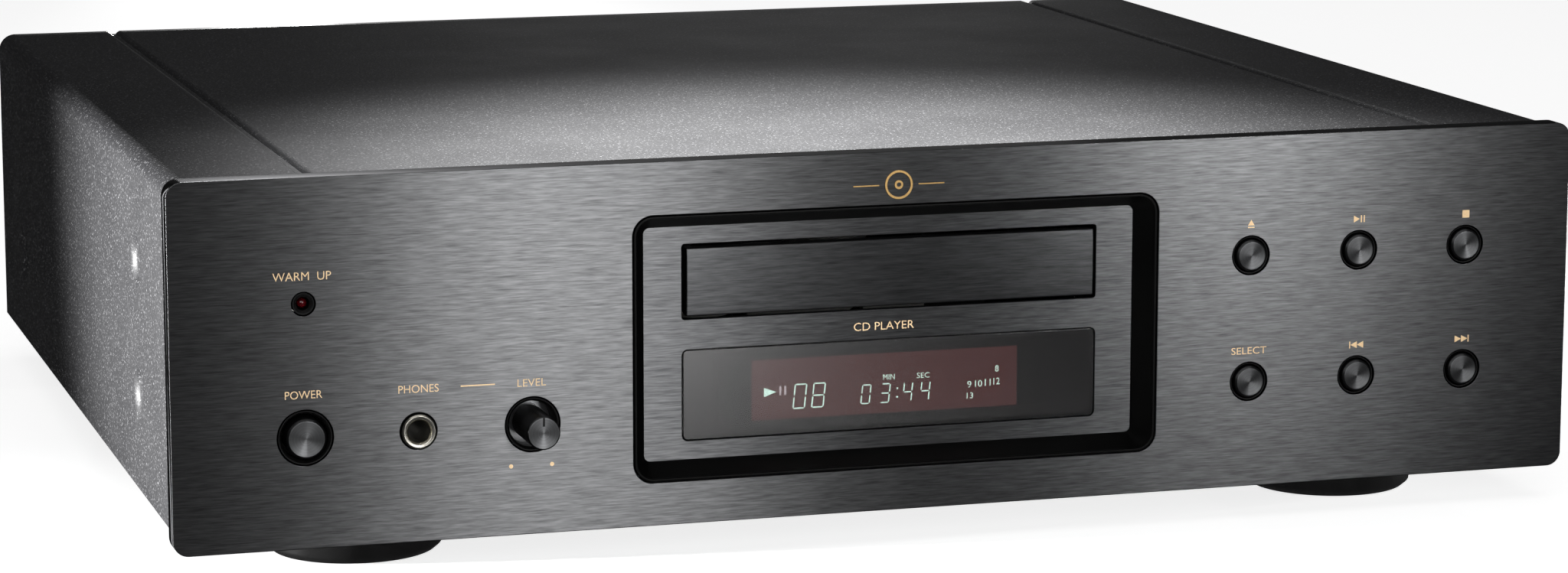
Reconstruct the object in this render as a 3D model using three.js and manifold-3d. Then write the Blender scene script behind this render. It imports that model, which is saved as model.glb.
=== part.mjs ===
// Compact disc player: a full-width hi-fi component with a brushed front panel,
// a folded sheet-metal cover, a disc loader behind the centre window and a
// toroidal power supply and analogue output stage beside it.
//
// Every dimension is in millimetres in the front panel's own frame: X to the
// right of its centre line, Y back from its front face, Z up from its bottom
// edge. The root group moves that frame so that the origin lies on the surface
// the feet stand on, under the middle of the overall depth.
import * as THREE from "three";
import { mergeVertices } from "three/addons/utils/BufferGeometryUtils.js";
import Module from "manifold-3d";

const wasm = await Module();
wasm.setup();

// ---------------------------------------------------------------- driving sizes

const GAP = 0.3;
const SHEET = 1.2;

const PANEL = { width: 430, height: 106.8, thickness: 7.5, corner: 4.5 };
const COVER = { width: 425.7, top: 104.8, bottom: 5.8, rear: 370.2, edge: 4.4 };
const GROOVE = { x: 173.5, width: 5.3, floor: 2.3, depth: 1.1 };
const FOOT = { x: 155, frontY: 42, rearY: 330, radius: 26, bottom: -10 };
const KNOB_REACH = 13.5;
const JACK_REACH = 10.2;

const WINDOW = { halfWidth: 80.8, bottom: 12.7, top: 91.1, corner: 6 };
const CENTRE_PLATE = { halfWidth: 75.7, bottom: 17.4, top: 86.4, corner: 1.9, y: 8, thickness: 2 };
const TRAY_SLOT = { halfWidth: 64, bottom: 58.9, top: 81 };
const DISPLAY = { halfWidth: 64.1, bottom: 22.8, top: 49.9, corner: 1.8 };

const UPPER_ROW = 70.68;
const LOWER_ROW = 32.2;
const BUTTONS = {
  button_eject: [110.66, UPPER_ROW],
  button_play_pause: [145.72, UPPER_ROW],
  button_stop: [180.77, UPPER_ROW],
  button_select: [110.66, LOWER_ROW],
  button_previous: [145.72, LOWER_ROW],
  button_next: [180.77, LOWER_ROW],
};
const BUTTON = { hole: 5.98, collar: 5.7, collarBore: 5.15, radius: 4.8, proud: 1 };
const POWER = { x: -176.8, z: 32.25, hole: 8.08, radius: 5.8, proud: 2 };
const LEVEL = { x: -110.8, z: 32.25, hole: 8.08, radius: 4.9, shaft: 3 };
const BEZEL = { radius: 7.8, bore: 6.7 };
const PHONES = { x: -144.2, z: 32.3, hole: 5.39, radius: 5, bore: 3.2, proud: 1.6 };
const LAMP = { x: -176.7, z: UPPER_ROW, hole: 3.48, radius: 1.5, recess: 2 };

const DISC = { y: 76, wellRadius: 60.5, smallWellRadius: 41 };
const TRAY = { halfWidth: 62.5, front: 11.3, rear: 180, bottom: 60, top: 69, slotHalfWidth: 18 };
const RACK = { pitchX: -58, module: 1, top: 64.8 };
const PINION = { y: 36, teeth: 12 };
const WHEEL = { radius: 10, bottom: 53.8, top: 56.2 };
const PULLEY = { x: -51, y: 76, radius: 3 };
const SLED = { frontY: 91, rearY: 121, lensY: 101, stroke: 33 };
const FEED_GEAR = { x: 33.2, y: 122, teeth: 14 };
const TRAVERSE = { pivotY: 170, pivotZ: 48, axleRadius: 2, bottom: 50, top: 53 };
const LIFT = { pinZ: 51.5, drop: 10.9, travel: 18, pinRadius: 1.5 };

const SCREW_PLACES = [
  [63.5, 74.7],
  [63.5, 34.8],
  [316.5, 34.8],
];
const DIMPLE = { radius: 9, depth: 1 };

// -------------------------------------------------------------------- materials

const finish = (color, roughness, metalness) =>
  new THREE.MeshStandardMaterial({ color, roughness, metalness });

const MATERIALS = {
  brushed: finish(0x4a4c50, 0.4, 0.9),
  centre: finish(0x6a6c70, 0.35, 0.9),
  blackTrim: finish(0x0b0b0c, 0.5, 0),
  coating: finish(0x2c2d30, 0.55, 0.3),
  plating: finish(0xb9bcc0, 0.35, 0.9),
  nickel: finish(0xc9c9c6, 0.2, 1),
  spun: finish(0x6e7074, 0.3, 0.9),
  smoked: finish(0x100a0b, 0.08, 0),
  lampRed: finish(0x7a1014, 0.2, 0),
  glossBlack: finish(0x090909, 0.15, 0),
  board: finish(0x12502a, 0.6, 0),
  winding: finish(0xb0702a, 0.45, 0.2),
  glass: finish(0xdfe6e8, 0.05, 0),
  rubber: finish(0x111111, 0.9, 0),
  white: finish(0xd9d7cf, 0.6, 0),
};

// ------------------------------------------------------------- solids and joins

function toSolid(geometry) {
  geometry.deleteAttribute("normal");
  geometry.deleteAttribute("uv");
  const merged = mergeVertices(geometry, 1e-4);
  return new wasm.Manifold(
    new wasm.Mesh({
      numProp: 3,
      vertProperties: merged.attributes.position.array,
      triVerts: new Uint32Array(merged.index.array),
    }),
  );
}

const joined = (first, ...others) => others.reduce((a, b) => a.add(b), first);
const cut = (first, ...others) => others.reduce((a, b) => a.subtract(b), first);

function box(x0, x1, y0, y1, z0, z1) {
  const geometry = new THREE.BoxGeometry(x1 - x0, y1 - y0, z1 - z0);
  return toSolid(geometry.translate((x0 + x1) / 2, (y0 + y1) / 2, (z0 + z1) / 2));
}

// Turns a geometry built round or along three.js's own axis to another axis.
const TURN = {
  x: new THREE.Matrix4().makeRotationZ(-Math.PI / 2),
  y: new THREE.Matrix4(),
  z: new THREE.Matrix4().makeRotationX(Math.PI / 2),
};

// A cylinder along an axis; the centre's coordinate on that axis is where it starts.
function rod(axis, radius, length, [x, y, z], segments = 12) {
  const geometry = new THREE.CylinderGeometry(radius, radius, length, segments);
  geometry.translate(0, length / 2, 0).applyMatrix4(TURN[axis]);
  return toSolid(geometry.translate(x, y, z));
}

// A profile of [radius, height] points, turned about an axis through a point.
function turned(axis, profile, [x, y, z], segments = 20) {
  const points = profile.map(([radius, height]) => new THREE.Vector2(radius, height));
  const geometry = new THREE.LatheGeometry(points, segments).applyMatrix4(TURN[axis]);
  return toSolid(geometry.translate(x, y, z));
}

function roundedRect(x0, x1, y0, y1, r) {
  const shape = new THREE.Shape();
  shape.moveTo(x0 + r, y0);
  shape.lineTo(x1 - r, y0);
  shape.absarc(x1 - r, y0 + r, r, -Math.PI / 2, 0);
  shape.lineTo(x1, y1 - r);
  shape.absarc(x1 - r, y1 - r, r, 0, Math.PI / 2);
  shape.lineTo(x0 + r, y1);
  shape.absarc(x0 + r, y1 - r, r, Math.PI / 2, Math.PI);
  shape.lineTo(x0, y0 + r);
  shape.absarc(x0 + r, y0 + r, r, Math.PI, 1.5 * Math.PI);
  return shape;
}

function polygon(points) {
  return new THREE.Shape(points.map(([x, y]) => new THREE.Vector2(x, y)));
}

// Extrudes an outline drawn in X and Z from y0 back to y1.
function frontPlate(shape, y0, y1, curveSegments = 3, bevel = {}) {
  const options = { depth: y1 - y0, bevelEnabled: false, curveSegments, ...bevel };
  const geometry = new THREE.ExtrudeGeometry(shape, options);
  return toSolid(geometry.rotateX(Math.PI / 2).translate(0, y1, 0));
}

// Extrudes an outline drawn in X and Y from z0 up to z1.
function flatPlate(shape, z0, z1, curveSegments = 3) {
  const options = { depth: z1 - z0, bevelEnabled: false, curveSegments };
  const geometry = new THREE.ExtrudeGeometry(shape, options);
  return toSolid(geometry.translate(0, 0, z0));
}

// Extrudes an outline drawn in Y and Z from x0 across to x1.
function sideways(shape, x0, x1, curveSegments = 6) {
  const options = { depth: x1 - x0, bevelEnabled: false, curveSegments };
  const axes = new THREE.Matrix4().makeBasis(
    new THREE.Vector3(0, 1, 0),
    new THREE.Vector3(0, 0, 1),
    new THREE.Vector3(1, 0, 0),
  );
  const geometry = new THREE.ExtrudeGeometry(shape, options).applyMatrix4(axes);
  return toSolid(geometry.translate(x0, 0, 0));
}

const part = new THREE.Group();

function place(name, solid, material) {
  const { vertProperties, triVerts } = solid.getMesh();
  const geometry = new THREE.BufferGeometry();
  geometry.setAttribute("position", new THREE.BufferAttribute(vertProperties, 3));
  geometry.setIndex(new THREE.BufferAttribute(triVerts, 1));
  geometry.computeVertexNormals();
  const mesh = new THREE.Mesh(geometry, material);
  mesh.name = name;
  part.add(mesh);
}

// ------------------------------------------------------------------------ gears

const TOOTH = { rise: 0.8, drop: 1.1, tipHalf: 0.3, rootHalf: 0.85 };

// A toothed wheel's outline; one tooth points along firstTooth (radians).
function gearOutline(cx, cy, teeth, firstTooth) {
  const pitchRadius = teeth / 2;
  const root = pitchRadius - TOOTH.drop;
  const tip = pitchRadius + TOOTH.rise;
  const points = [];
  for (let i = 0; i < teeth; i++) {
    const centre = firstTooth + (i * 2 * Math.PI) / teeth;
    const corners = [
      [root, -TOOTH.rootHalf / root],
      [tip, -TOOTH.tipHalf / tip],
      [tip, TOOTH.tipHalf / tip],
      [root, TOOTH.rootHalf / root],
    ];
    for (const [radius, turn] of corners) {
      points.push([
        cx + radius * Math.cos(centre + turn),
        cy + radius * Math.sin(centre + turn),
      ]);
    }
  }
  return polygon(points);
}

// A rack along Y with teeth towards +X, from backX to the pitch line; one space
// between teeth is centred on spaceY.
function rackOutline(backX, pitchX, y0, y1, spaceY) {
  const pitch = Math.PI * RACK.module;
  const first = Math.ceil((y0 - spaceY) / pitch - 0.5) + 0.5;
  const points = [[backX, y0]];
  for (let y = spaceY + first * pitch; y + TOOTH.rootHalf < y1; y += pitch) {
    if (y - TOOTH.rootHalf <= y0) continue;
    points.push([pitchX - TOOTH.drop, y - TOOTH.rootHalf]);
    points.push([pitchX + TOOTH.rise, y - TOOTH.tipHalf]);
    points.push([pitchX + TOOTH.rise, y + TOOTH.tipHalf]);
    points.push([pitchX - TOOTH.drop, y + TOOTH.rootHalf]);
  }
  points.splice(1, 0, [pitchX - TOOTH.drop, y0]);
  points.push([pitchX - TOOTH.drop, y1]);
  points.push([backX, y1]);
  return polygon(points);
}

// ------------------------------------------------------------------ front panel

function throughHoles(y0, y1, extra, segments) {
  const places = Object.values(BUTTONS).map(([x, z]) => ({ x, z, hole: BUTTON.hole }));
  return [...places, POWER, LEVEL, PHONES, LAMP].map(({ x, z, hole }) =>
    rod("y", hole + extra, y1 - y0, [x, y0, z], segments),
  );
}

function frontPanel() {
  const outline = roundedRect(
    -PANEL.width / 2, PANEL.width / 2, 0, PANEL.height, PANEL.corner,
  );
  const opening = roundedRect(
    -WINDOW.halfWidth, WINDOW.halfWidth, WINDOW.bottom, WINDOW.top, WINDOW.corner,
  );
  outline.holes.push(opening);
  const panel = frontPlate(outline, 0, PANEL.thickness);
  return cut(panel, ...throughHoles(-1, PANEL.thickness + 1, 0, 20));
}

// The black surround: flush with the panel outside, sloping in to the centre plate.
function windowFrame() {
  const back = PANEL.thickness + 0.2;
  const lip = 0.4;
  const outline = roundedRect(
    -WINDOW.halfWidth + GAP, WINDOW.halfWidth - GAP,
    WINDOW.bottom + GAP, WINDOW.top - GAP, WINDOW.corner - GAP,
  );
  const mouth = roundedRect(
    -CENTRE_PLATE.halfWidth, CENTRE_PLATE.halfWidth,
    CENTRE_PLATE.bottom, CENTRE_PLATE.top, CENTRE_PLATE.corner,
  );
  const slope = {
    bevelEnabled: true,
    bevelSize: WINDOW.halfWidth - CENTRE_PLATE.halfWidth - GAP - lip,
    bevelThickness: back - lip,
    bevelSegments: 1,
  };
  const cutter = frontPlate(mouth, -10, lip, 3, slope);
  return cut(frontPlate(outline, 0, back), cutter.translate([0, 0.05, 0]));
}

function centrePlate() {
  const overlap = 3;
  const { y, thickness } = CENTRE_PLATE;
  const outline = roundedRect(
    -CENTRE_PLATE.halfWidth - overlap, CENTRE_PLATE.halfWidth + overlap,
    CENTRE_PLATE.bottom - overlap, CENTRE_PLATE.top + overlap, CENTRE_PLATE.corner,
  );
  outline.holes.push(
    roundedRect(-TRAY_SLOT.halfWidth, TRAY_SLOT.halfWidth, TRAY_SLOT.bottom, TRAY_SLOT.top, 0.8),
    roundedRect(
      -DISPLAY.halfWidth, DISPLAY.halfWidth, DISPLAY.bottom, DISPLAY.top, DISPLAY.corner,
    ),
  );
  return frontPlate(outline, y, y + thickness);
}

function displayWindow() {
  const outline = roundedRect(
    -DISPLAY.halfWidth + GAP, DISPLAY.halfWidth - GAP,
    DISPLAY.bottom + GAP, DISPLAY.top - GAP, DISPLAY.corner - GAP,
  );
  return frontPlate(outline, CENTRE_PLATE.y, CENTRE_PLATE.y + 3);
}

// The fluorescent display: a flat glass envelope with its pins along the bottom.
function displayModule() {
  const envelope = box(-52, 52, 12.6, 18.6, 26.5, 46.5);
  const pins = box(-48, 48, 18.4, 19.6, 27, 28.5);
  return joined(envelope, pins);
}

// Behind the panel: the display and key board, with one switch under each button.
function frontBoard() {
  const y = 20;
  const thickness = 1.6;
  const wide = box(-70, 196, y, y + thickness, 20, 52);
  const tall = box(96, 196, y, y + thickness, 20, 84);
  const switches = Object.values(BUTTONS).map(([x, z]) =>
    box(x - 3, x + 3, y - 5.9, y + 0.1, z - 3, z + 3),
  );
  const connectors = [box(70, 88, y + 1.5, y + 9, 38, 44), box(150, 180, y + 1.5, y + 9, 44, 50)];
  return joined(wide, tall, ...switches, ...connectors);
}

const SUB_FRONT = { y: PANEL.thickness + GAP, halfWidth: 209.9, bottom: 7.3, top: 102 };

function subFront() {
  const { y, halfWidth, bottom, top } = SUB_FRONT;
  const outline = roundedRect(-halfWidth, halfWidth, bottom, top, 2);
  const clear = 0.6;
  outline.holes.push(
    roundedRect(
      -CENTRE_PLATE.halfWidth - 3 - clear, CENTRE_PLATE.halfWidth + 3 + clear,
      CENTRE_PLATE.bottom - 3 - clear, CENTRE_PLATE.top + 3 + clear, 2,
    ),
  );
  const wall = cut(frontPlate(outline, y, y + SHEET), ...throughHoles(y - 1, y + SHEET + 1, 0.4, 10));
  const ears = [-1, 1].map((side) => {
    const x = side * (halfWidth - SHEET / 2);
    const ear = box(x - SHEET / 2, x + SHEET / 2, y + 0.5, 74, 62, 90);
    const [screwY, screwZ] = SCREW_PLACES[0];
    return cut(ear, rod("x", 1.95, 6, [x - 3, screwY, screwZ], 8));
  });
  return joined(wall, ...ears);
}

// --------------------------------------------------------------- front controls

// One moulding holds all six buttons: a collar in each panel hole, webs behind.
function buttonGuide() {
  const webY = SUB_FRONT.y + SHEET + GAP;
  const webBack = webY + 1.6;
  const collarFront = 0.5;
  const outer = [];
  const bores = [];
  for (const [x, z] of Object.values(BUTTONS)) {
    outer.push(rod("y", BUTTON.collar, webBack - collarFront, [x, collarFront, z], 16));
    bores.push(rod("y", BUTTON.collarBore, webBack, [x, 0, z], 16));
  }
  const rails = [UPPER_ROW, LOWER_ROW].map((z) => box(102, 189, webY, webBack, z - 8, z + 8));
  const posts = [128, 163].map((x) => box(x - 4, x + 4, webY, webBack, LOWER_ROW, UPPER_ROW));
  return cut(joined(...rails, ...posts, ...outer), ...bores);
}

const BUTTON_PROFILE = [
  [0, -BUTTON.proud],
  [BUTTON.radius - 0.6, -BUTTON.proud],
  [BUTTON.radius, -BUTTON.proud + 0.6],
  [BUTTON.radius, 11.6],
  [BUTTON.radius + 1.4, 11.6],
  [BUTTON.radius + 1.4, 12.8],
  [0, 12.8],
];

// A ring that lines a panel hole, with a sloping mouth.
function bezel({ x, z }) {
  const profile = [
    [BEZEL.bore, 1.6],
    [BEZEL.radius - 0.4, 0.1],
    [BEZEL.radius, 0.1],
    [BEZEL.radius, 7.2],
    [BEZEL.bore, 7.2],
    [BEZEL.bore, 1.6],
  ];
  return turned("y", profile, [x, 0, z]);
}

function powerButton() {
  const { x, z, radius, proud } = POWER;
  const profile = [
    [0, -proud],
    [radius - 0.9, -proud],
    [radius, -proud + 0.9],
    [radius, 10],
    [1.8, 10],
    [1.8, 16],
    [0, 16],
  ];
  return turned("y", profile, [x, 0, z]);
}

// The knob and the spindle it is pressed on; a notch in the rim is the pointer.
function levelKnob() {
  const { x, z, radius, shaft } = LEVEL;
  const profile = [
    [0, -KNOB_REACH],
    [radius - 0.5, -KNOB_REACH],
    [radius, -KNOB_REACH + 0.5],
    [radius, 5],
    [shaft, 5],
    [shaft, 15],
    [0, 15],
  ];
  const notch = box(x - 0.5, x + 0.5, -KNOB_REACH - 1, -KNOB_REACH + 0.6, z + 2, z + 6);
  return cut(turned("y", profile, [x, 0, z]), notch);
}

// The potentiometer: a bush that the spindle turns in, its case and its tags.
function levelPot() {
  const { x, z, shaft } = LEVEL;
  const bush = rod("y", 4.9, 6, [x, 7.4, z], 20);
  const flange = box(x - 8, x + 8, 9.4, 11, z - 8, z + 8);
  const shell = box(x - 8, x + 8, 10.9, 26, z - 10, z + 8);
  const bore = rod("y", shaft + GAP, 9, [x, 6.5, z], 20);
  const tags = box(x - 6, x + 6, 18, 22, z - 14, z - 9.9);
  return cut(joined(bush, flange, shell, tags), bore);
}

function powerSwitch() {
  const { x, z } = POWER;
  const shell = box(x - 8, x + 8, 14.2, 44, z - 9, z + 9);
  const well = rod("y", 2.4, 6, [x, 13.8, z], 16);
  const tags = [-5, 5].map((dx) => box(x + dx - 1.5, x + dx + 1.5, 43.9, 50, z - 4, z + 4));
  return cut(joined(shell, ...tags), well);
}

// A 6.35 mm stereo socket: plated nose through the panel, moulded body behind.
function headphoneJack() {
  const { x, z, radius, bore, proud } = PHONES;
  const nose = turned("y", [
    [0, -proud],
    [radius - 0.4, -proud],
    [radius, -proud + 0.4],
    [radius, 9.9],
    [0, 9.9],
  ], [x, 0, z]);
  const shell = box(x - 8, x + 8, 9.8, 36, z - 9, z + 9);
  return cut(joined(nose, shell), rod("y", bore, 33, [x, -2, z], 20));
}

function lampHolder() {
  const profile = [
    [1.9, 1],
    [2.9, 0.3],
    [LAMP.hole - GAP, 0.3],
    [LAMP.hole - GAP, 11],
    [1.9, 11],
    [1.9, 1],
  ];
  return turned("y", profile, [LAMP.x, 0, LAMP.z], 16);
}

function warmUpLamp() {
  const { x, z, radius, recess } = LAMP;
  const profile = [
    [0, recess],
    [radius * 0.7, recess + 0.45],
    [radius, recess + 1.5],
    [radius, 11.4],
    [radius + 0.4, 11.4],
    [radius + 0.4, 12.4],
    [0, 12.4],
  ];
  return turned("y", profile, [x, 0, z], 16);
}

// ------------------------------------------------------------- chassis and feet

function screwHoles(radius) {
  const reach = COVER.width / 2 + 5;
  return SCREW_PLACES.flatMap(([y, z]) =>
    [-reach, COVER.width / 2 - 10].map((x) => rod("x", radius, 15, [x, y, z], 8)),
  );
}

// A folded tray: floor, side walls that the cover's lower screws reach, and air
// slots under the transformer and the output stage.
function chassisBase() {
  const halfWidth = 210.2;
  const front = 9.5;
  const rear = COVER.rear - SHEET - GAP;
  const floor = COVER.bottom + SHEET;
  const wallTop = 46;
  const tray = joined(
    box(-halfWidth, halfWidth, front, rear, COVER.bottom, floor),
    box(-halfWidth, -halfWidth + SHEET, front, rear, COVER.bottom, wallTop),
    box(halfWidth - SHEET, halfWidth, front, rear, COVER.bottom, wallTop),
  );
  const slots = [];
  for (const side of [-1, 1]) {
    for (let i = 0; i < 6; i++) {
      const y = 180 + i * 14;
      const x = side * 147;
      slots.push(box(x - 30, x + 30, y, y + 4, COVER.bottom - 1, floor + 1));
    }
  }
  const holes = SCREW_PLACES.slice(1).flatMap(([y, z]) =>
    [-1, 1].map((side) => rod("x", 1.95, 10, [side * halfWidth - 5, y, z], 8)),
  );
  return cut(tray, ...slots, ...holes);
}

const INLET = { x: -165, z: 34, halfWidth: 12.1, halfHeight: 8.3 };
const ANALOG = { xs: [126, 150], z: 34 };
const DIGITAL = { coaxX: 88, opticalX: 62, z: 34 };
const JACK_HOLE = 5.2;

function rearPanel() {
  const y = COVER.rear - SHEET;
  const top = COVER.top - SHEET - GROOVE.depth - GAP;
  const plate = frontPlate(roundedRect(-211.2, 211.2, 7.3, top, 4), y, COVER.rear);
  const holes = [...ANALOG.xs, DIGITAL.coaxX].map((x) =>
    rod("y", JACK_HOLE, 4, [x, y - 1, ANALOG.z], 16),
  );
  const optical = DIGITAL.opticalX;
  holes.push(box(optical - 5.5, optical + 5.5, y - 1, y + 3, DIGITAL.z - 5.5, DIGITAL.z + 5.5));
  const { x, z, halfWidth, halfHeight } = INLET;
  holes.push(
    box(
      x - halfWidth - 2, x + halfWidth + 2, y - 1, y + 3,
      z - halfHeight - 2, z + halfHeight + 2,
    ),
  );
  return cut(plate, ...holes);
}

// One folded sheet: top and two sides, a groove pressed along each side of the
// top, and a shallow round dimple for each fixing screw.
function topCover() {
  const halfWidth = COVER.width / 2;
  const { x, width, floor, depth } = GROOVE;
  const groove = (side, drop) => [
    [side * (x + width / 2), COVER.top - drop],
    [side * (x + floor / 2), COVER.top - drop - depth],
    [side * (x - floor / 2), COVER.top - drop - depth],
    [side * (x - width / 2), COVER.top - drop],
  ];
  const corner = (side, drop) => {
    const centreX = halfWidth - COVER.edge;
    const centreZ = COVER.top - COVER.edge;
    const radius = COVER.edge - drop;
    return [0, 30, 60, 90].map((degrees) => {
      const turn = (degrees * Math.PI) / 180;
      return [
        side * (centreX + radius * Math.cos(turn)),
        centreZ + radius * Math.sin(turn),
      ];
    });
  };
  const half = (drop) => [
    [halfWidth - drop, COVER.bottom],
    ...corner(1, drop),
    ...groove(1, drop),
  ];
  const skin = (drop) => {
    const right = half(drop);
    const left = right.map(([px, pz]) => [-px, pz]).reverse();
    return [...right, ...left];
  };
  const outline = polygon([...skin(0), ...skin(SHEET).reverse()]);
  const sheet = frontPlate(outline, SUB_FRONT.y, COVER.rear);
  const bosses = [];
  const dimples = [];
  for (const [y, z] of SCREW_PLACES) {
    for (const side of [-1, 1]) {
      const inside = side > 0 ? halfWidth - SHEET - DIMPLE.depth : SHEET - halfWidth - 0.1;
      const outside = side > 0 ? halfWidth - DIMPLE.depth : -halfWidth - 1;
      bosses.push(rod("x", DIMPLE.radius + 0.5, DIMPLE.depth + 0.1, [inside, y, z], 16));
      dimples.push(rod("x", DIMPLE.radius, DIMPLE.depth + 1, [outside, y, z], 16));
    }
  }
  return cut(joined(sheet, ...bosses), ...dimples, ...screwHoles(1.95));
}

function coverScrew(side, y, z) {
  const seat = COVER.width / 2 - DIMPLE.depth + GAP;
  const profile = [
    [0, seat - 8],
    [1.6, seat - 8],
    [1.6, seat],
    [3.3, seat],
    [3.3, seat + 0.7],
    [2.2, seat + 1.3],
    [0, seat + 1.3],
  ];
  const screw = turned("x", profile, [0, y, z], 8);
  return side > 0 ? screw : screw.mirror([1, 0, 0]);
}

const FOOT_PROFILE = [
  [0, FOOT.bottom],
  [FOOT.radius - 1, FOOT.bottom],
  [FOOT.radius, FOOT.bottom + 1],
  [FOOT.radius, COVER.bottom - GAP],
  [0, COVER.bottom - GAP],
];

// ------------------------------------------------------------------ disc loader

// The door is a bar whose front bulges slightly, between its top and bottom edges.
function trayDoor() {
  const bottom = TRAY_SLOT.bottom + 1.05;
  const top = TRAY_SLOT.top - 1.05;
  const outline = new THREE.Shape();
  outline.moveTo(11, bottom);
  outline.lineTo(11, top);
  outline.lineTo(8, top);
  outline.quadraticCurveTo(5.8, (top + bottom) / 2, 8, bottom);
  return sideways(outline, -63, 63);
}

const PINION_X = RACK.pitchX + PINION.teeth / 2 + 0.15;
const RACK_BACK = -60;

function discTray() {
  const { halfWidth, front, rear, bottom, top, slotHalfWidth } = TRAY;
  const plateRear = 142;
  const slab = joined(
    box(-halfWidth, halfWidth, front, plateRear, bottom, top),
    box(-halfWidth, -40, plateRear - 1, rear, bottom, top - 2),
    box(40, halfWidth, plateRear - 1, rear, bottom, top - 2),
  );
  const channel = box(RACK_BACK, -44, front + 2, rear + 1, bottom - 1, RACK.top);
  const wells = [
    rod("z", DISC.wellRadius, 6, [0, DISC.y, 66], 36),
    rod("z", DISC.smallWellRadius, 6, [0, DISC.y, 64.6], 24),
    rod("z", slotHalfWidth, 20, [0, DISC.y, bottom - 5], 20),
    box(-slotHalfWidth, slotHalfWidth, DISC.y, plateRear + 1, bottom - 5, top + 5),
  ];
  const rack = flatPlate(
    rackOutline(RACK_BACK - 0.5, RACK.pitchX, front + 3, rear, PINION.y),
    bottom,
    RACK.top + 0.1,
  );
  return joined(cut(slab, channel, ...wells), rack);
}

// The moulded frame: side walls with ledges for the tray, cross bars, four legs.
function loaderFrame() {
  const wallIn = 63.2;
  const wallOut = 67.2;
  const front = 24;
  const rear = 186;
  const floor = 7.3;
  const pieces = [];
  for (const side of [-1, 1]) {
    const near = side > 0 ? wallIn : -wallOut;
    const far = side > 0 ? wallOut : -wallIn;
    pieces.push(box(near, far, front, rear, 40, 72));
    const ledge = side > 0 ? [60.6, wallIn + 1] : [-wallIn - 1, -60.6];
    pieces.push(box(ledge[0], ledge[1], front, rear, 56.6, 59.4));
    for (const y of [44, 170]) {
      pieces.push(box(near, far, y - 6, y + 6, floor, 41));
    }
    const post = side > 0 ? [48, 53] : [-53, -48];
    pieces.push(box(post[0], post[1], 165, 176, 28, 53));
  }
  pieces.push(box(-wallOut, wallOut, 34, 40, 26, 32));
  pieces.push(box(-wallOut, wallOut, 166, 176, 26, 32));
  pieces.push(box(-wallOut, -wallOut + 6, 34, 40, 30, 42));
  pieces.push(box(wallOut - 6, wallOut, 34, 40, 30, 42));
  pieces.push(box(-wallOut + 1, -43, 28, 44, 43, 47.5));
  pieces.push(box(-wallOut + 1, -40, 62, 90, 24, 27.7));
  pieces.push(box(-wallOut, -wallOut + 4, 62, 90, 24, 41));
  const axleHole = rod("x", TRAVERSE.axleRadius + 0.4, 112, [-56, TRAVERSE.pivotY, TRAVERSE.pivotZ]);
  return cut(joined(...pieces), axleHole);
}

// The bridge over the tray, with the hole that the disc clamp hangs in.
function clampBridge() {
  const strip = box(-67.2, 67.2, DISC.y - 17, DISC.y + 17, 72.3, 73.5);
  const ribs = [-1, 1].map((side) => {
    const y = DISC.y + side * 16.4;
    return box(-66, 66, y - 0.6, y + 0.6, 73.4, 76);
  });
  return cut(joined(strip, ...ribs), rod("z", 11.2, 5, [0, DISC.y, 71], 24));
}

const CLAMP_PROFILE = [
  [0, 69.6],
  [13.5, 69.6],
  [13.5, 71.6],
  [10, 71.6],
  [10, 74.2],
  [14, 74.2],
  [14, 76.4],
  [0, 76.4],
];

// The disc platform: a flange that lifts the disc and a cone that centres it.
const TURNTABLE_PROFILE = [
  [0, 52.9],
  [5, 52.9],
  [5, 64],
  [15, 64],
  [15, 66.8],
  [7.4, 66.8],
  [6.6, 68.6],
  [2.5, 69.2],
  [0, 69.2],
];

function spindleMotor() {
  return turned("z", [
    [0, 40],
    [11, 40],
    [12, 41],
    [12, 52.5],
    [0, 52.5],
  ], [0, DISC.y, 0]);
}

// The tilting frame that carries the motor, the rod and the pickup.
function traverseFrame() {
  const { pivotY, pivotZ, axleRadius, bottom, top } = TRAVERSE;
  const plate = cut(
    box(-38, 44, 50, 168, bottom, top),
    box(-30, 22, 88, 158, bottom - 1, top + 1),
    rod("z", 12.4, 6, [0, DISC.y, bottom - 2], 24),
  );
  const railSupports = [
    box(-30, -22, 84.2, 87.7, top - 0.5, 58.4),
    box(-30, -22, 158.3, 162, top - 0.5, 58.4),
  ];
  const rail = box(21, 23.5, 84, 162, top - 0.5, 54.2);
  const ears = [-1, 1].map((side) => box(side * 36 - 3, side * 36 + 3, 160, 174, 45, top));
  const axle = rod("x", axleRadius, 104, [-52, pivotY, pivotZ], 16);
  const pin = rod("y", LIFT.pinRadius, 10, [0, 41, LIFT.pinZ], 12);
  return joined(plate, ...railSupports, rail, ...ears, axle, pin);
}

const SLED_RACK = { backX: 23.9, pitchX: FEED_GEAR.x - FEED_GEAR.teeth / 2 - 0.15 };

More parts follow.
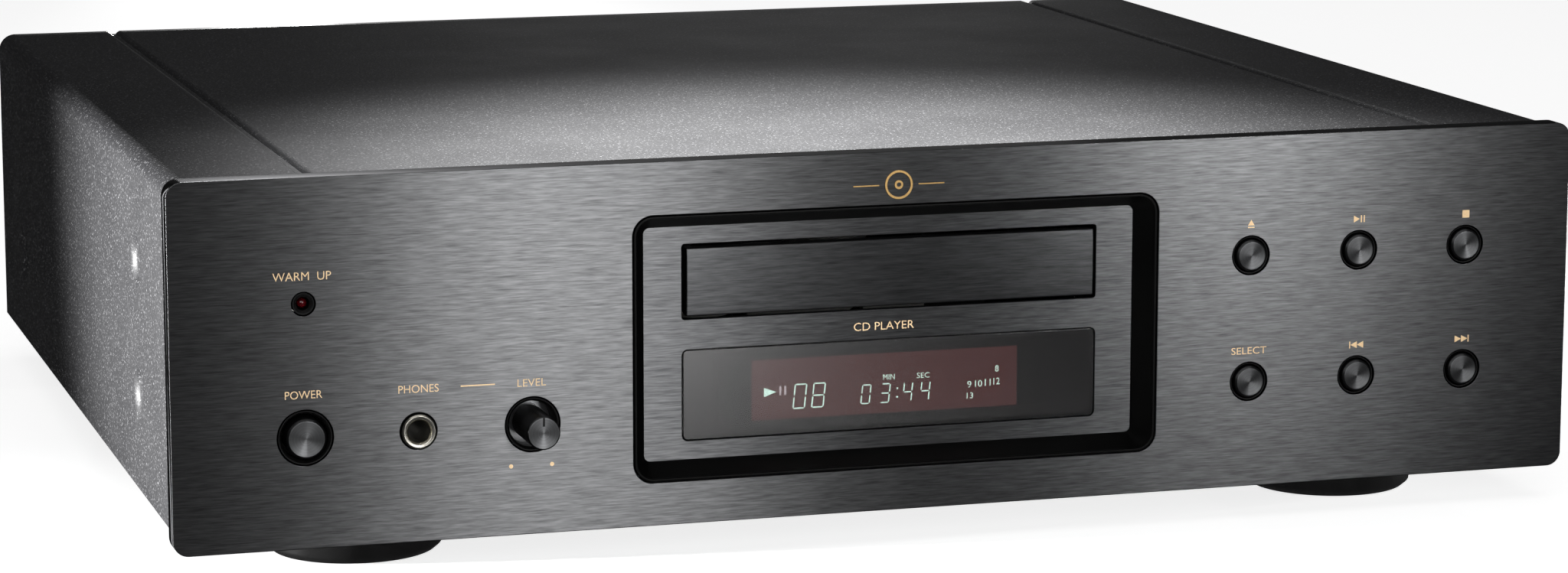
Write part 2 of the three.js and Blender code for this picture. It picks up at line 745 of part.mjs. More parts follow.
// The pickup block: a bush on the rod, a shoe on the rail, the lens and a rack.
function pickupSled() {
  const { frontY, rearY, lensY } = SLED;
  const block = box(-20, 20, frontY, rearY, 54.6, 59.4);
  const belly = box(-18, 18, frontY + 2, rearY - 4, 46, 55);
  const bush = box(-29.4, -19.9, frontY + 3, rearY - 3, 53.6, 59.4);
  const shoe = box(19.9, 24.4, frontY + 6, rearY - 6, 54.6, 57);
  const lens = turned("z", [
    [0, 59.3],
    [4.4, 59.3],
    [4.4, 60.6],
    [3.2, 61.4],
    [0, 61.9],
  ], [0, lensY, 0], 16);
  const rack = flatPlate(
    rackOutline(SLED_RACK.backX, SLED_RACK.pitchX, 88.5, 125.5, FEED_GEAR.y),
    54.6,
    56.6,
  );
  const bore = rod("y", 1.85, 40, [-26, frontY - 2, 56], 12);
  return cut(joined(block, belly, bush, shoe, lens, rack), bore);
}

function guideRod() {
  return rod("y", 1.5, 70, [-26, 88, 56], 12);
}

function feedGear() {
  const { x, y, teeth } = FEED_GEAR;
  const wheel = flatPlate(gearOutline(x, y, teeth, Math.PI), 54.4, 56.8);
  return joined(wheel, rod("z", 2.4, 3.6, [x, y, 53.4], 12));
}

// Pinion and belt wheel in one moulding; the pinion runs in the tray's channel.
function loadingGear() {
  const centre = [PINION_X, PINION.y, WHEEL.bottom];
  const wheel = rod("z", WHEEL.radius, WHEEL.top - WHEEL.bottom, centre, 20);
  const pinion = flatPlate(
    gearOutline(PINION_X, PINION.y, PINION.teeth, Math.PI),
    WHEEL.top - 0.1,
    RACK.top - 0.6,
  );
  const stub = rod("z", 2.5, 6, [PINION_X, PINION.y, WHEEL.bottom - 5.9], 12);
  return joined(wheel, pinion, stub);
}

function loadingMotor() {
  return rod("z", 10, 22, [PULLEY.x, PULLEY.y, 28], 24);
}

function motorPulley() {
  return turned("z", [
    [0, 50.4],
    [1.2, 50.4],
    [1.2, 53.4],
    [4.2, 53.4],
    [4.2, 53.8],
    [PULLEY.radius, 54],
    [PULLEY.radius, 56],
    [4.2, 56.2],
    [4.2, 56.6],
    [0, 56.6],
  ], [PULLEY.x, PULLEY.y, 0], 16);
}

// A loop round two circles of different size: its outline, grown by margin.
function beltOutline(margin) {
  const big = WHEEL.radius + margin;
  const small = PULLEY.radius + margin;
  const dx = PULLEY.x - PINION_X;
  const dy = PULLEY.y - PINION.y;
  const along = Math.atan2(dy, dx);
  const lean = Math.acos((big - small) / Math.hypot(dx, dy));
  const shape = new THREE.Shape();
  shape.absarc(PINION_X, PINION.y, big, along + lean, along - lean + 2 * Math.PI);
  shape.absarc(PULLEY.x, PULLEY.y, small, along - lean, along + lean);
  return shape;
}

function driveBelt() {
  const loop = beltOutline(1);
  loop.holes.push(beltOutline(0.35));
  return flatPlate(loop, 54.25, 55.75, 5);
}

// A bar that slides across the frame; its sloping slot lowers the traverse.
function liftCam() {
  const bar = box(-34, 22, 43, 46.4, 33, 56);
  const { pinZ, drop, travel, pinRadius } = LIFT;
  const reach = pinRadius + 0.6;
  const tail = 2.5;
  const slope = drop / travel;
  const slot = polygon([
    [tail, pinZ + tail * slope + reach],
    [-travel - tail, pinZ - drop - tail * slope + reach],
    [-travel - tail, pinZ - drop - tail * slope - reach],
    [tail, pinZ + tail * slope - reach],
  ]);
  return cut(bar, frontPlate(slot, 42, 48));
}

// -------------------------------------------------------------------- electrics

function powerTransformer() {
  return turned("z", [
    [14, 14],
    [19, 8.4],
    [44, 8.4],
    [50, 14],
    [50, 48],
    [44, 54],
    [19, 54],
    [14, 49],
    [14, 14],
  ], [-142, 112, 0], 24);
}

function powerBoard() {
  const z = 14;
  const board = box(-203, -92, 182, 338, z, z + 1.6);
  const legs = [-198, -97].flatMap((x) =>
    [187, 333].map((y) => rod("z", 3, z - 7.2, [x, y, 7.3], 8)),
  );
  const capacitors = [-182, -154].flatMap((x) =>
    [206, 236].map((y) => rod("z", 11, 35, [x, y, z + 1.5], 12)),
  );
  const heatSink = box(-122, -118, 200, 270, z + 1.5, 52);
  const fins = [0, 1, 2, 3, 4].map((i) => {
    const y = 204 + i * 15;
    return box(-118.1, -104, y, y + 2, z + 1.5, 50);
  });
  const fuse = rod("x", 3, 24, [-180, 300, z + 5], 10);
  const holder = box(-182, -154, 296, 304, z + 1.5, z + 5);
  return joined(board, ...legs, ...capacitors, heatSink, ...fins, holder, fuse);
}

const TUBES = { tube_left: [118, 170], tube_right: [168, 170] };

function mainBoard() {
  const z = 14;
  const board = box(88, 203, 60, 346, z, z + 1.6);
  const legs = [93, 198].flatMap((x) =>
    [65, 341].map((y) => rod("z", 3, z - 7.2, [x, y, 7.3], 8)),
  );
  const sockets = Object.values(TUBES).map(([x, y]) => rod("z", 11, 6, [x, y, z + 1.5], 10));
  const capacitors = [104, 126, 148, 170, 192].map((x) => rod("z", 6, 22, [x, 220, z + 1.5], 8));
  const chips = [
    box(120, 134, 90, 104, z + 1.5, z + 4),
    box(150, 158, 92, 108, z + 1.5, z + 4),
    box(110, 122, 270, 280, z + 1.5, z + 14),
    box(160, 172, 270, 280, z + 1.5, z + 14),
  ];
  return joined(board, ...legs, ...sockets, ...capacitors, ...chips);
}

function tube(x, y) {
  return turned("z", [
    [0, 21.9],
    [9.5, 21.9],
    [10.5, 24],
    [10.5, 62],
    [8, 66],
    [2, 68],
    [1, 71],
    [0, 71],
  ], [x, y, 0], 12);
}

// The mains inlet: flanged moulding, an open cavity and three flat pins in it.
function mainsInlet() {
  const { x, z, halfWidth, halfHeight } = INLET;
  const face = COVER.rear + GAP;
  const flange = frontPlate(
    roundedRect(x - 24, x + 24, z - 13, z + 13, 3), face, face + 3,
  );
  const shell = box(
    x - halfWidth - 1.5, x + halfWidth + 1.5, COVER.rear - 18, face + 1,
    z - halfHeight - 1.5, z + halfHeight + 1.5,
  );
  const cavity = box(
    x - halfWidth, x + halfWidth, COVER.rear - 16, face + 5, z - halfHeight, z + halfHeight,
  );
  const pins = [
    [-7, -1.5],
    [0, 2.5],
    [7, -1.5],
  ].map(([dx, dz]) =>
    box(x + dx - 1, x + dx + 1, COVER.rear - 24, COVER.rear - 6, z + dz - 2, z + dz + 2),
  );
  return joined(cut(joined(flange, shell), cavity), ...pins);
}

// A phono socket: turned sleeve with a hole for the plug's centre pin.
function phonoSleeve(x, z) {
  const end = COVER.rear + JACK_REACH;
  return turned("y", [
    [0, end - 20],
    [JACK_HOLE - 0.35, end - 20],
    [JACK_HOLE - 0.35, end - 8],
    [4.15, end - 8],
    [4.15, end],
    [1.7, end],
    [1.7, end - 9],
    [0, end - 9],
  ], [x, 0, z], 16);
}

function analogJacks() {
  const [first, last] = ANALOG.xs;
  const rear = COVER.rear - SHEET - GAP;
  const block = box(first - 10, last + 10, rear - 12, rear, ANALOG.z - 10, ANALOG.z + 8);
  return joined(block, phonoSleeve(first, ANALOG.z), phonoSleeve(last, ANALOG.z));
}

function digitalJacks() {
  const { coaxX, opticalX, z } = DIGITAL;
  const rear = COVER.rear - SHEET - GAP;
  const block = box(opticalX - 8, coaxX + 8, rear - 12, rear, z - 10, z + 8);
  const optical = box(opticalX - 5, opticalX + 5, rear - 1, COVER.rear + 2.5, z - 5, z + 5);
  return joined(block, phonoSleeve(coaxX, z), optical);
}

// --------------------------------------------------------------------- assembly

place("front_panel", frontPanel(), MATERIALS.brushed);
place("window_frame", windowFrame(), MATERIALS.blackTrim);
place("center_plate", centrePlate(), MATERIALS.centre);
place("display_window", displayWindow(), MATERIALS.smoked);
place("display_module", displayModule(), MATERIALS.glass);
place("front_board", frontBoard(), MATERIALS.board);
place("sub_front", subFront(), MATERIALS.plating);

place("button_guide", buttonGuide(), MATERIALS.blackTrim);
for (const [name, [x, z]] of Object.entries(BUTTONS)) {
  place(name, turned("y", BUTTON_PROFILE, [x, 0, z], 16), MATERIALS.spun);
}
place("power_bezel", bezel(POWER), MATERIALS.blackTrim);
place("power_button", powerButton(), MATERIALS.spun);
place("power_switch", powerSwitch(), MATERIALS.blackTrim);
place("level_bezel", bezel(LEVEL), MATERIALS.blackTrim);
place("level_knob", levelKnob(), MATERIALS.spun);
place("level_pot", levelPot(), MATERIALS.plating);
place("headphone_jack", headphoneJack(), MATERIALS.nickel);
place("lamp_holder", lampHolder(), MATERIALS.blackTrim);
place("warm_up_lamp", warmUpLamp(), MATERIALS.lampRed);

place("chassis_base", chassisBase(), MATERIALS.plating);
place("rear_panel", rearPanel(), MATERIALS.coating);
place("top_cover", topCover(), MATERIALS.coating);
for (const [side, sideName] of [[-1, "left"], [1, "right"]]) {
  SCREW_PLACES.forEach(([y, z], i) => {
    place(`cover_screw_${sideName}_${i + 1}`, coverScrew(side, y, z), MATERIALS.nickel);
  });
  for (const [end, y] of [["front", FOOT.frontY], ["rear", FOOT.rearY]]) {
    const foot = turned("z", FOOT_PROFILE, [side * FOOT.x, y, 0], 24);
    place(`foot_${end}_${sideName}`, foot, MATERIALS.glossBlack);
  }
}

place("tray_door", trayDoor(), MATERIALS.centre);
place("disc_tray", discTray(), MATERIALS.blackTrim);
place("loader_frame", loaderFrame(), MATERIALS.blackTrim);
place("clamp_bridge", clampBridge(), MATERIALS.plating);
place("clamp_puck", turned("z", CLAMP_PROFILE, [0, DISC.y, 0]), MATERIALS.white);
place("loading_motor", loadingMotor(), MATERIALS.nickel);
place("motor_pulley", motorPulley(), MATERIALS.white);
place("loading_gear", loadingGear(), MATERIALS.white);
place("drive_belt", driveBelt(), MATERIALS.rubber);
place("lift_cam", liftCam(), MATERIALS.white);
place("traverse_frame", traverseFrame(), MATERIALS.blackTrim);
place("spindle_motor", spindleMotor(), MATERIALS.nickel);
place("turntable", turned("z", TURNTABLE_PROFILE, [0, DISC.y, 0]), MATERIALS.blackTrim);
place("guide_rod", guideRod(), MATERIALS.nickel);
place("pickup_sled", pickupSled(), MATERIALS.plating);
place("feed_gear", feedGear(), MATERIALS.white);

place("power_transformer", powerTransformer(), MATERIALS.winding);
place("power_board", powerBoard(), MATERIALS.board);
place("main_board", mainBoard(), MATERIALS.board);
for (const [name, [x, y]] of Object.entries(TUBES)) {
  place(name, tube(x, y), MATERIALS.glass);
}
place("mains_inlet", mainsInlet(), MATERIALS.blackTrim);
place("analog_jacks", analogJacks(), MATERIALS.nickel);
place("digital_jacks", digitalJacks(), MATERIALS.nickel);

part.position.set(0, (KNOB_REACH - COVER.rear - JACK_REACH) / 2, -FOOT.bottom);

export default part;
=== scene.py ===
import math

import bmesh
import bpy
from mathutils import Matrix, Vector


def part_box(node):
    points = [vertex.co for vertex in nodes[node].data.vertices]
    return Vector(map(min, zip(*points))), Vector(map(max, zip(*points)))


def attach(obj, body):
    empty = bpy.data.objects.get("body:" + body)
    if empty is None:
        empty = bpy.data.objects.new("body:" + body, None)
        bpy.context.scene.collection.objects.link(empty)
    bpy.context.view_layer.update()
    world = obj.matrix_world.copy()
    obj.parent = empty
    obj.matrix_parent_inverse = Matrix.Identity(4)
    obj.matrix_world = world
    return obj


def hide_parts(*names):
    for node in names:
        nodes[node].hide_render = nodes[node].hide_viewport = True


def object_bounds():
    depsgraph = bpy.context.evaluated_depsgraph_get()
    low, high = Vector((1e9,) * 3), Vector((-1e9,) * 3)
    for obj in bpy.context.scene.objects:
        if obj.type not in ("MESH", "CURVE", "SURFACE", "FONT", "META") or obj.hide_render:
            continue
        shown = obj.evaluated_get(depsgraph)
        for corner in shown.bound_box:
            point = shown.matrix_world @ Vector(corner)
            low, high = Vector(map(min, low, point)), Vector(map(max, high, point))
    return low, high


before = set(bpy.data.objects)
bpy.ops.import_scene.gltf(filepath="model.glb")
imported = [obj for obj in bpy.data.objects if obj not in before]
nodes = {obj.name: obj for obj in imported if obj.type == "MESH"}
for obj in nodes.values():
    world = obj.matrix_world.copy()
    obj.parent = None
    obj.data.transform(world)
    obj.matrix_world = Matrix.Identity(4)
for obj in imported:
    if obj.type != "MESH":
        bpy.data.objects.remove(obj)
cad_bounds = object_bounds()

# A compact disc player's looks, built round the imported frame. Sizes are in
# millimetres in the front panel's own frame: X to the right of its centre line,
# Y back from its front face, Z up from its bottom edge.
MM = 0.001
scene = bpy.context.scene
PANEL_LO, PANEL_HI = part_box("front_panel")
ORIGIN = Vector((0, PANEL_LO.y, PANEL_LO.z))


def at(x, y, z):
    return ORIGIN + Vector((x, y, z)) * MM


def axis_of(node):
    """X and Z of a node's middle, in millimetres in the panel's frame."""
    lo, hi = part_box(node)
    mid = ((lo + hi) / 2 - ORIGIN) / MM
    return mid.x, mid.z


def extent(node):
    """A node's box as x0, x1, y0, y1, z0, z1 in millimetres in the panel's frame."""
    lo, hi = [(corner - ORIGIN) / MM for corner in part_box(node)]
    return lo.x, hi.x, lo.y, hi.y, lo.z, hi.z


# ------------------------------------------------------------------- materials


class Shader:
    """A Principled material and the few node chains the finishes share."""

    def __init__(self, name, **values):
        self.material = bpy.data.materials.new(name)
        self.material.use_nodes = True
        self.tree = self.material.node_tree
        self.bsdf = self.tree.nodes["Principled BSDF"]
        for socket, value in values.items():
            self.bsdf.inputs[socket.replace("_", " ")].default_value = value

    def node(self, kind, inputs=None, **settings):
        made = self.tree.nodes.new("ShaderNode" + kind)
        for key, value in settings.items():
            setattr(made, key, value)
        for key, value in (inputs or {}).items():
            if isinstance(value, bpy.types.NodeSocket):
                self.tree.links.new(value, made.inputs[key])
            else:
                made.inputs[key].default_value = value
        return made

    def set(self, socket, value):
        self.tree.links.new(value, self.bsdf.inputs[socket])

    def coords(self, stretch=(1, 1, 1)):
        place = self.node("TexCoord").outputs["Object"]
        return self.node("Mapping", {"Vector": place, "Scale": stretch}).outputs[0]

    def noise(self, scale, stretch=(1, 1, 1), detail=3, vector=None):
        where = self.coords(stretch) if vector is None else vector
        inputs = {"Vector": where, "Scale": scale, "Detail": detail}
        return self.node("TexNoise", inputs).outputs["Fac"]

    def span(self, value, low, high, source=(0.3, 0.7)):
        inputs = {"Value": value, "From Min": source[0], "From Max": source[1],
                  "To Min": low, "To Max": high}
        return self.node("MapRange", inputs).outputs["Result"]

    def mix(self, factor, first, second):
        made = self.node("Mix", data_type="RGBA")
        self.tree.links.new(factor, made.inputs["Factor"])
        for socket, value in ((made.inputs[6], first), (made.inputs[7], second)):
            if isinstance(value, bpy.types.NodeSocket):
                self.tree.links.new(value, socket)
            else:
                socket.default_value = value
        return made.outputs[2]

    def maths(self, operation, first, second):
        made = self.node("Math", operation=operation)
        for socket, value in zip(made.inputs, (first, second)):
            if isinstance(value, bpy.types.NodeSocket):
                self.tree.links.new(value, socket)
            else:
                socket.default_value = value
        return made.outputs[0]

    def paint_shade_off_front(self, colour, painted_shade):
        """The colour on faces turned to the front, and painted shade on edges and sides: faces
        turned away from the front are coloured near black in place of their lighting.
        """
        normal = self.node("TexCoord").outputs["Normal"]
        ahead = self.node("SeparateXYZ", {0: normal}).outputs["Y"]
        return self.mix(self.span(ahead, 0, 1, (-0.93, -0.6)), colour, painted_shade)

    def bump(self, height, strength, distance):
        inputs = {"Height": height, "Strength": strength, "Distance": distance}
        self.set("Normal", self.node("Bump", inputs).outputs["Normal"])


def rgb(red, green, blue):
    return (red, green, blue, 1)


# Painted shade: a near-black colour put on metal edges, sides and top faces in place of their
# lighting.
PAINTED_EDGE_SHADE = rgb(0.030, 0.030, 0.031)


def brushed(name, dark, light, rough, anisotropic=1.0, grain="X"):
    """Brushed aluminium: long fine streaks along the grain, highlights across it."""
    shader = Shader(name, Metallic=1, Anisotropic=anisotropic)
    fine, wide = {"X": ((190, 2900, 2900), (80, 1250, 1250)),
                  "Y": ((2900, 190, 2900), (1250, 80, 1250))}[grain]
    streaks = shader.maths(
        "ADD",
        shader.maths("MULTIPLY", shader.noise(1, fine, 3), 0.5),
        shader.maths("MULTIPLY", shader.noise(1, wide, 3), 0.5),
    )
    colour = shader.mix(shader.span(streaks, 0, 1, (0.34, 0.66)), dark, light)
    # Painted shade: faces not turned to the front, such as the panel's top, sides and bevels,
    # are darkened to near black.
    shader.set("Base Color", shader.paint_shade_off_front(colour, PAINTED_EDGE_SHADE))
    slow = shader.noise(30, detail=2)
    shader.set("Roughness", shader.span(slow, rough - 0.005, rough + 0.005))
    shader.bump(streaks, 0.06, 0.00003)
    tangent = shader.node("Tangent", direction_type="RADIAL", axis=grain)
    shader.set("Tangent", tangent.outputs[0])
    return shader.material


def spun(name, dark, light, rough, anisotropic=0.8):
    """Aluminium turned about the object's own Y axis: rings of fine tool marks."""
    shader = Shader(name, Metallic=1, Anisotropic=anisotropic, Anisotropic_Rotation=0.25)
    flat = shader.coords((1, 0, 1))
    radius = shader.node("VectorMath", {0: flat}, operation="LENGTH").outputs["Value"]
    ring = shader.node("CombineXYZ", {"X": radius}).outputs[0]
    rings = shader.noise(5200, vector=ring, detail=4)
    colour = shader.mix(shader.span(rings, 0, 1), dark, light)
    # Painted shade: the sides and rims of the caps and knob are darkened to near black.
    shader.set("Base Color", shader.paint_shade_off_front(colour, PAINTED_EDGE_SHADE))
    shader.set("Roughness", shader.span(rings, rough + 0.06, rough - 0.06))
    shader.bump(rings, 0.3, 0.00002)
    tangent = shader.node("Tangent", direction_type="RADIAL", axis="Y")
    shader.set("Tangent", tangent.outputs[0])
    return shader.material


def grained(name, dark, light, rough, metallic=0.0, grain=2500, depth=0.00002,
            strength=0.3, blotch=60, **values):
    """A moulded, plated or coated surface with a fine grain and slow variation."""
    shader = Shader(name, Metallic=metallic, **values)
    fine = shader.noise(grain, detail=3)
    slow = shader.noise(blotch, detail=2)
    share = shader.maths("ADD", shader.maths("MULTIPLY", fine, 0.6),
                         shader.maths("MULTIPLY", slow, 0.4))
    shader.set("Base Color", shader.mix(shader.span(share, 0, 1), dark, light))
    shader.set("Roughness", shader.span(slow, rough - 0.04, rough + 0.06))
    shader.bump(fine, strength, depth)
    return shader.material


def powder_coat():
    """Satin black textured coating: a pebbled skin with scattered brighter flecks."""
    shader = Shader("satin_coating", IOR=1.5, Metallic=0)
    pebbles = shader.noise(1250, detail=3)
    flecks = shader.noise(1300, detail=1)
    slow = shader.noise(25, detail=2)
    colour = shader.mix(shader.span(pebbles, 0, 1), rgb(0.009, 0.009, 0.010),
                        rgb(0.026, 0.026, 0.028))
    colour = shader.mix(shader.span(flecks, 0, 1, (0.62, 0.74)), colour,
                        rgb(0.17, 0.17, 0.175))
    shader.set("Base Color", colour)
    shader.set("Roughness", shader.span(slow, 0.44, 0.50))
    shader.bump(pebbles, 0.55, 0.00014)
    return shader.material


def printed(name, colour, emission=0.0):
    shader = Shader(name, Roughness=0.45)
    cover = shader.noise(3000, detail=2)
    faded = tuple(c * 0.85 for c in colour[:3]) + (1,)
    tone = shader.mix(shader.span(cover, 0, 1), faded, colour)
    shader.set("Base Color", tone)
    if emission:
        shader.set("Emission Color", tone)
        shader.material.cycles.emission_sampling = "NONE"
        shader.bsdf.inputs["Emission Strength"].default_value = emission
    return shader.material


def glass(name, tint, rough=0.02, **values):
    shader = Shader(name, Transmission_Weight=1.0, Base_Color=tint, **values)
    smear = shader.noise(40, detail=2)
    shader.set("Roughness", shader.span(smear, rough, rough + 0.03))
    return shader.material


def circuit_board():
    """Green solder mask with paler tracks and tinned pads on a square grid."""
    shader = Shader("circuit_board_finish", Metallic=0)
    where = shader.coords((1, 1, 1))
    tracks = shader.node("TexBrick", {
        "Vector": where, "Scale": 180, "Color1": rgb(0.010, 0.085, 0.030),
        "Color2": rgb(0.014, 0.110, 0.040), "Mortar": rgb(0.03, 0.19, 0.07),
        "Mortar Size": 0.035}).outputs["Color"]
    cells = shader.node("TexVoronoi", {"Vector": where, "Scale": 210}).outputs["Distance"]
    pads = shader.span(cells, 1, 0, (0.10, 0.16))
    colour = shader.mix(pads, tracks, rgb(0.55, 0.55, 0.50))
    parts = shader.node("SeparateXYZ", {0: where}).outputs["Z"]
    tall = shader.span(parts, 0, 1, (PANEL_LO.z + 0.0165, PANEL_LO.z + 0.017))
    shader.set("Base Color", shader.mix(tall, colour, rgb(0.02, 0.02, 0.025)))
    shader.set("Roughness", shader.span(shader.noise(300), 0.35, 0.5))
    shader.bump(cells, 0.2, 0.0001)
    return shader.material


def wound_copper():
    """Enamelled wire wound round a toroid: fine strands running radially."""
    shader = Shader("toroid_winding", Metallic=0.6, Coat_Weight=0.5)
    lo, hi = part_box("power_transformer")
    middle = (lo + hi) / 2
    place = shader.node("TexCoord").outputs["Object"]
    away = shader.node("VectorMath", {0: place, 1: middle}, operation="SUBTRACT").outputs[0]
    turn = shader.node("SeparateXYZ", {0: away})
    angle = shader.maths("ARCTAN2", turn.outputs["Y"], turn.outputs["X"])
    strand = shader.maths("SINE", shader.maths("MULTIPLY", angle, 260), 0)
    wander = shader.noise(300)
    shader.set("Base Color", shader.mix(
        shader.span(shader.maths("ADD", strand, wander), 0, 1, (-0.8, 1.6)),
        rgb(0.22, 0.07, 0.015), rgb(0.62, 0.27, 0.07)))
    shader.set("Roughness", shader.span(wander, 0.3, 0.45))
    shader.bump(strand, 0.6, 0.0003)
    return shader.material


PANEL_METAL = brushed("brushed_panel", rgb(0.090, 0.091, 0.093), rgb(0.205, 0.207, 0.212), 0.285)
PLATE_METAL = brushed("brushed_plate", rgb(0.080, 0.081, 0.084), rgb(0.185, 0.187, 0.192), 0.285)
DOOR_METAL = brushed("brushed_door", rgb(0.058, 0.059, 0.061), rgb(0.120, 0.122, 0.126), 0.285)
BRUSHED = (PANEL_METAL, PLATE_METAL, DOOR_METAL)
SPUN_METAL = spun("spun_face", rgb(0.16, 0.163, 0.168), rgb(0.27, 0.275, 0.282), 0.36)
COATING = powder_coat()
TRIM = grained("satin_black_trim", rgb(0.002, 0.002, 0.002), rgb(0.006, 0.006, 0.006), 0.40,
               Specular_IOR_Level=0.3)
SURROUND_BLACK = grained("matt_black_surround", rgb(0.001, 0.001, 0.001),
                         rgb(0.003, 0.003, 0.003), 0.34, Specular_IOR_Level=0.12)
RING_TRIM = grained("gloss_black_ring", rgb(0.003, 0.003, 0.003), rgb(0.006, 0.006, 0.006), 0.42,
                    Specular_IOR_Level=0.22)
FOOT_BLACK = grained("gloss_black_foot", rgb(0.005, 0.005, 0.005), rgb(0.010, 0.010, 0.010),
                     0.16, strength=0.1, Coat_Weight=0.6, Coat_Roughness=0.08)
RUBBER = grained("black_rubber", rgb(0.010, 0.010, 0.010), rgb(0.022, 0.022, 0.022), 0.75,
                 grain=1200, strength=0.6)
NICKEL = grained("bright_nickel", rgb(0.80, 0.77, 0.68), rgb(0.90, 0.87, 0.78), 0.24,
                 metallic=1, strength=0.1)
STEEL = grained("zinc_plate", rgb(0.42, 0.43, 0.44), rgb(0.56, 0.57, 0.58), 0.34,
                metallic=1, grain=700, blotch=90)
SCREW_STEEL = grained("screw_steel", rgb(0.022, 0.022, 0.023), rgb(0.055, 0.055, 0.057), 0.34,
                      metallic=1)
ACETAL = grained("white_acetal", rgb(0.62, 0.61, 0.56), rgb(0.72, 0.71, 0.67), 0.42,
                 Subsurface_Weight=0.05)
CERAMIC = grained("red_insulator", rgb(0.42, 0.01, 0.012), rgb(0.55, 0.02, 0.02), 0.35)
WHITE_RING = grained("white_insulator", rgb(0.70, 0.70, 0.68), rgb(0.80, 0.80, 0.78), 0.35)
ORANGE_RING = grained("orange_insulator", rgb(0.65, 0.20, 0.01), rgb(0.75, 0.26, 0.02), 0.35)
SMOKED = glass("smoked_acrylic_window", rgb(0.05, 0.048, 0.049), 0.0, IOR=1.06,
               Coat_Weight=1.0, Coat_Roughness=0.17, Coat_IOR=2.1)
TUBE_GLASS = glass("tube_envelope", rgb(0.90, 0.93, 0.94), IOR=1.49)
LAMP_RED = grained("lamp_lens", rgb(0.040, 0.001, 0.002), rgb(0.065, 0.001, 0.003), 0.10,
                   Coat_Weight=1.0, Coat_Roughness=0.03)
PRINT = printed("tan_print", rgb(0.72, 0.51, 0.28))
EMBLEM = grained("gold_emblem", rgb(0.62, 0.38, 0.14), rgb(0.80, 0.52, 0.22), 0.30, metallic=1)
REAR_PRINT = printed("white_print", rgb(0.62, 0.62, 0.60))
VFD_LIT = printed("lit_segments", rgb(0.62, 0.90, 0.78), emission=24.0)
VFD_DIM = printed("dim_segments", rgb(0.40, 0.37, 0.38), emission=24.0)
# Painted glow: the filter film is no lamp, but it emits its own maroon colour.
VFD_FILM_PAINTED_GLOW = printed("display_filter_film_painted_glow", rgb(0.20, 0.062, 0.060), emission=6.0)
BOARD = circuit_board()
WINDING = wound_copper()


# ---------------------------------------------------------------- mesh building


def finish(name, bm, sharp=32):
    """Turns a bmesh into smooth-shaded mesh data with its sharp edges marked."""
    bmesh.ops.recalc_face_normals(bm, faces=bm.faces)
    limit = math.radians(sharp)
    for edge in bm.edges:
        if len(edge.link_faces) == 2:
            flat = edge.link_faces[0].normal.angle(edge.link_faces[1].normal, 0)
            if flat > limit:
                edge.smooth = False
    for face in bm.faces:
        face.smooth = True
    mesh = bpy.data.meshes.new(name)
    bm.to_mesh(mesh)
    bm.free()
    return mesh


FAR_FRONT = 600


def piece(name, mesh, material, body, replaces=(), origin=None):
    """Adds a mesh as a piece on a body; origin is its place, in panel millimetres."""
    made = bpy.data.objects.new(name, mesh)
    scene.collection.objects.link(made)
    if material in BRUSHED:  # an origin far in front makes its tangents run straight up
        mesh.transform(Matrix.Translation((0, FAR_FRONT * MM, 0)))
        origin = (origin[0], origin[1] - FAR_FRONT, origin[2])
    if origin:
        made.location = at(*origin)
    if material:
        mesh.materials.clear()
        mesh.materials.append(material)
    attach(made, body)
    if replaces:
        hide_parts(*replaces)
    return made


def bridge(bm, first, second):
    for i in range(len(first)):
        j = (i + 1) % len(first)
        bm.faces.new((first[i], first[j], second[j], second[i]))


def rounded_rect(x0, x1, z0, z1, radius, steps=8, hole=False):
    """A loop maker: given an inset into the material, returns the loop's points."""
    def loop(inset):
        d = -inset if hole else inset
        r = max(radius - d, 0.02)
        points = []
        corners = ((x1 - d - r, z0 + d + r, -90), (x1 - d - r, z1 - d - r, 0),
                   (x0 + d + r, z1 - d - r, 90), (x0 + d + r, z0 + d + r, 180))
        for cx, cz, start in corners:
            for i in range(steps + 1):
                t = math.radians(start + 90 * i / steps)
                points.append((cx + r * math.cos(t), cz + r * math.sin(t)))
        return points
    return loop


def circle(cx, cz, radius, steps=72, hole=True):
    def loop(inset):
        r = radius + (inset if hole else -inset)
        return [(cx + r * math.cos(2 * math.pi * i / steps),
                 cz + r * math.sin(2 * math.pi * i / steps)) for i in range(steps)]
    return loop


def polyline(points):
    """A loop maker for any polygon, moved in along its corners' bisectors."""
    def loop(inset):
        moved = []
        count = len(points)
        turn = sum(points[i - 1][0] * points[i][1] - points[i][0] * points[i - 1][1]
                   for i in range(count))
        side = 1 if turn > 0 else -1
        for i, point in enumerate(points):
            p = Vector(point)
            a = (p - Vector(points[i - 1])).normalized()
            b = (Vector(points[(i + 1) % count]) - p).normalized()
            normal = Vector((-a.y - b.y, a.x + b.x)) * side
            moved.append(tuple(p + normal.normalized() * inset
                               / max(normal.length / 2, 0.3)))
        return moved
    return loop


AXES = {"x": lambda u, v, w: (w, u, v), "y": lambda u, v, w: (u, w, v),
        "z": lambda u, v, w: (u, v, w)}


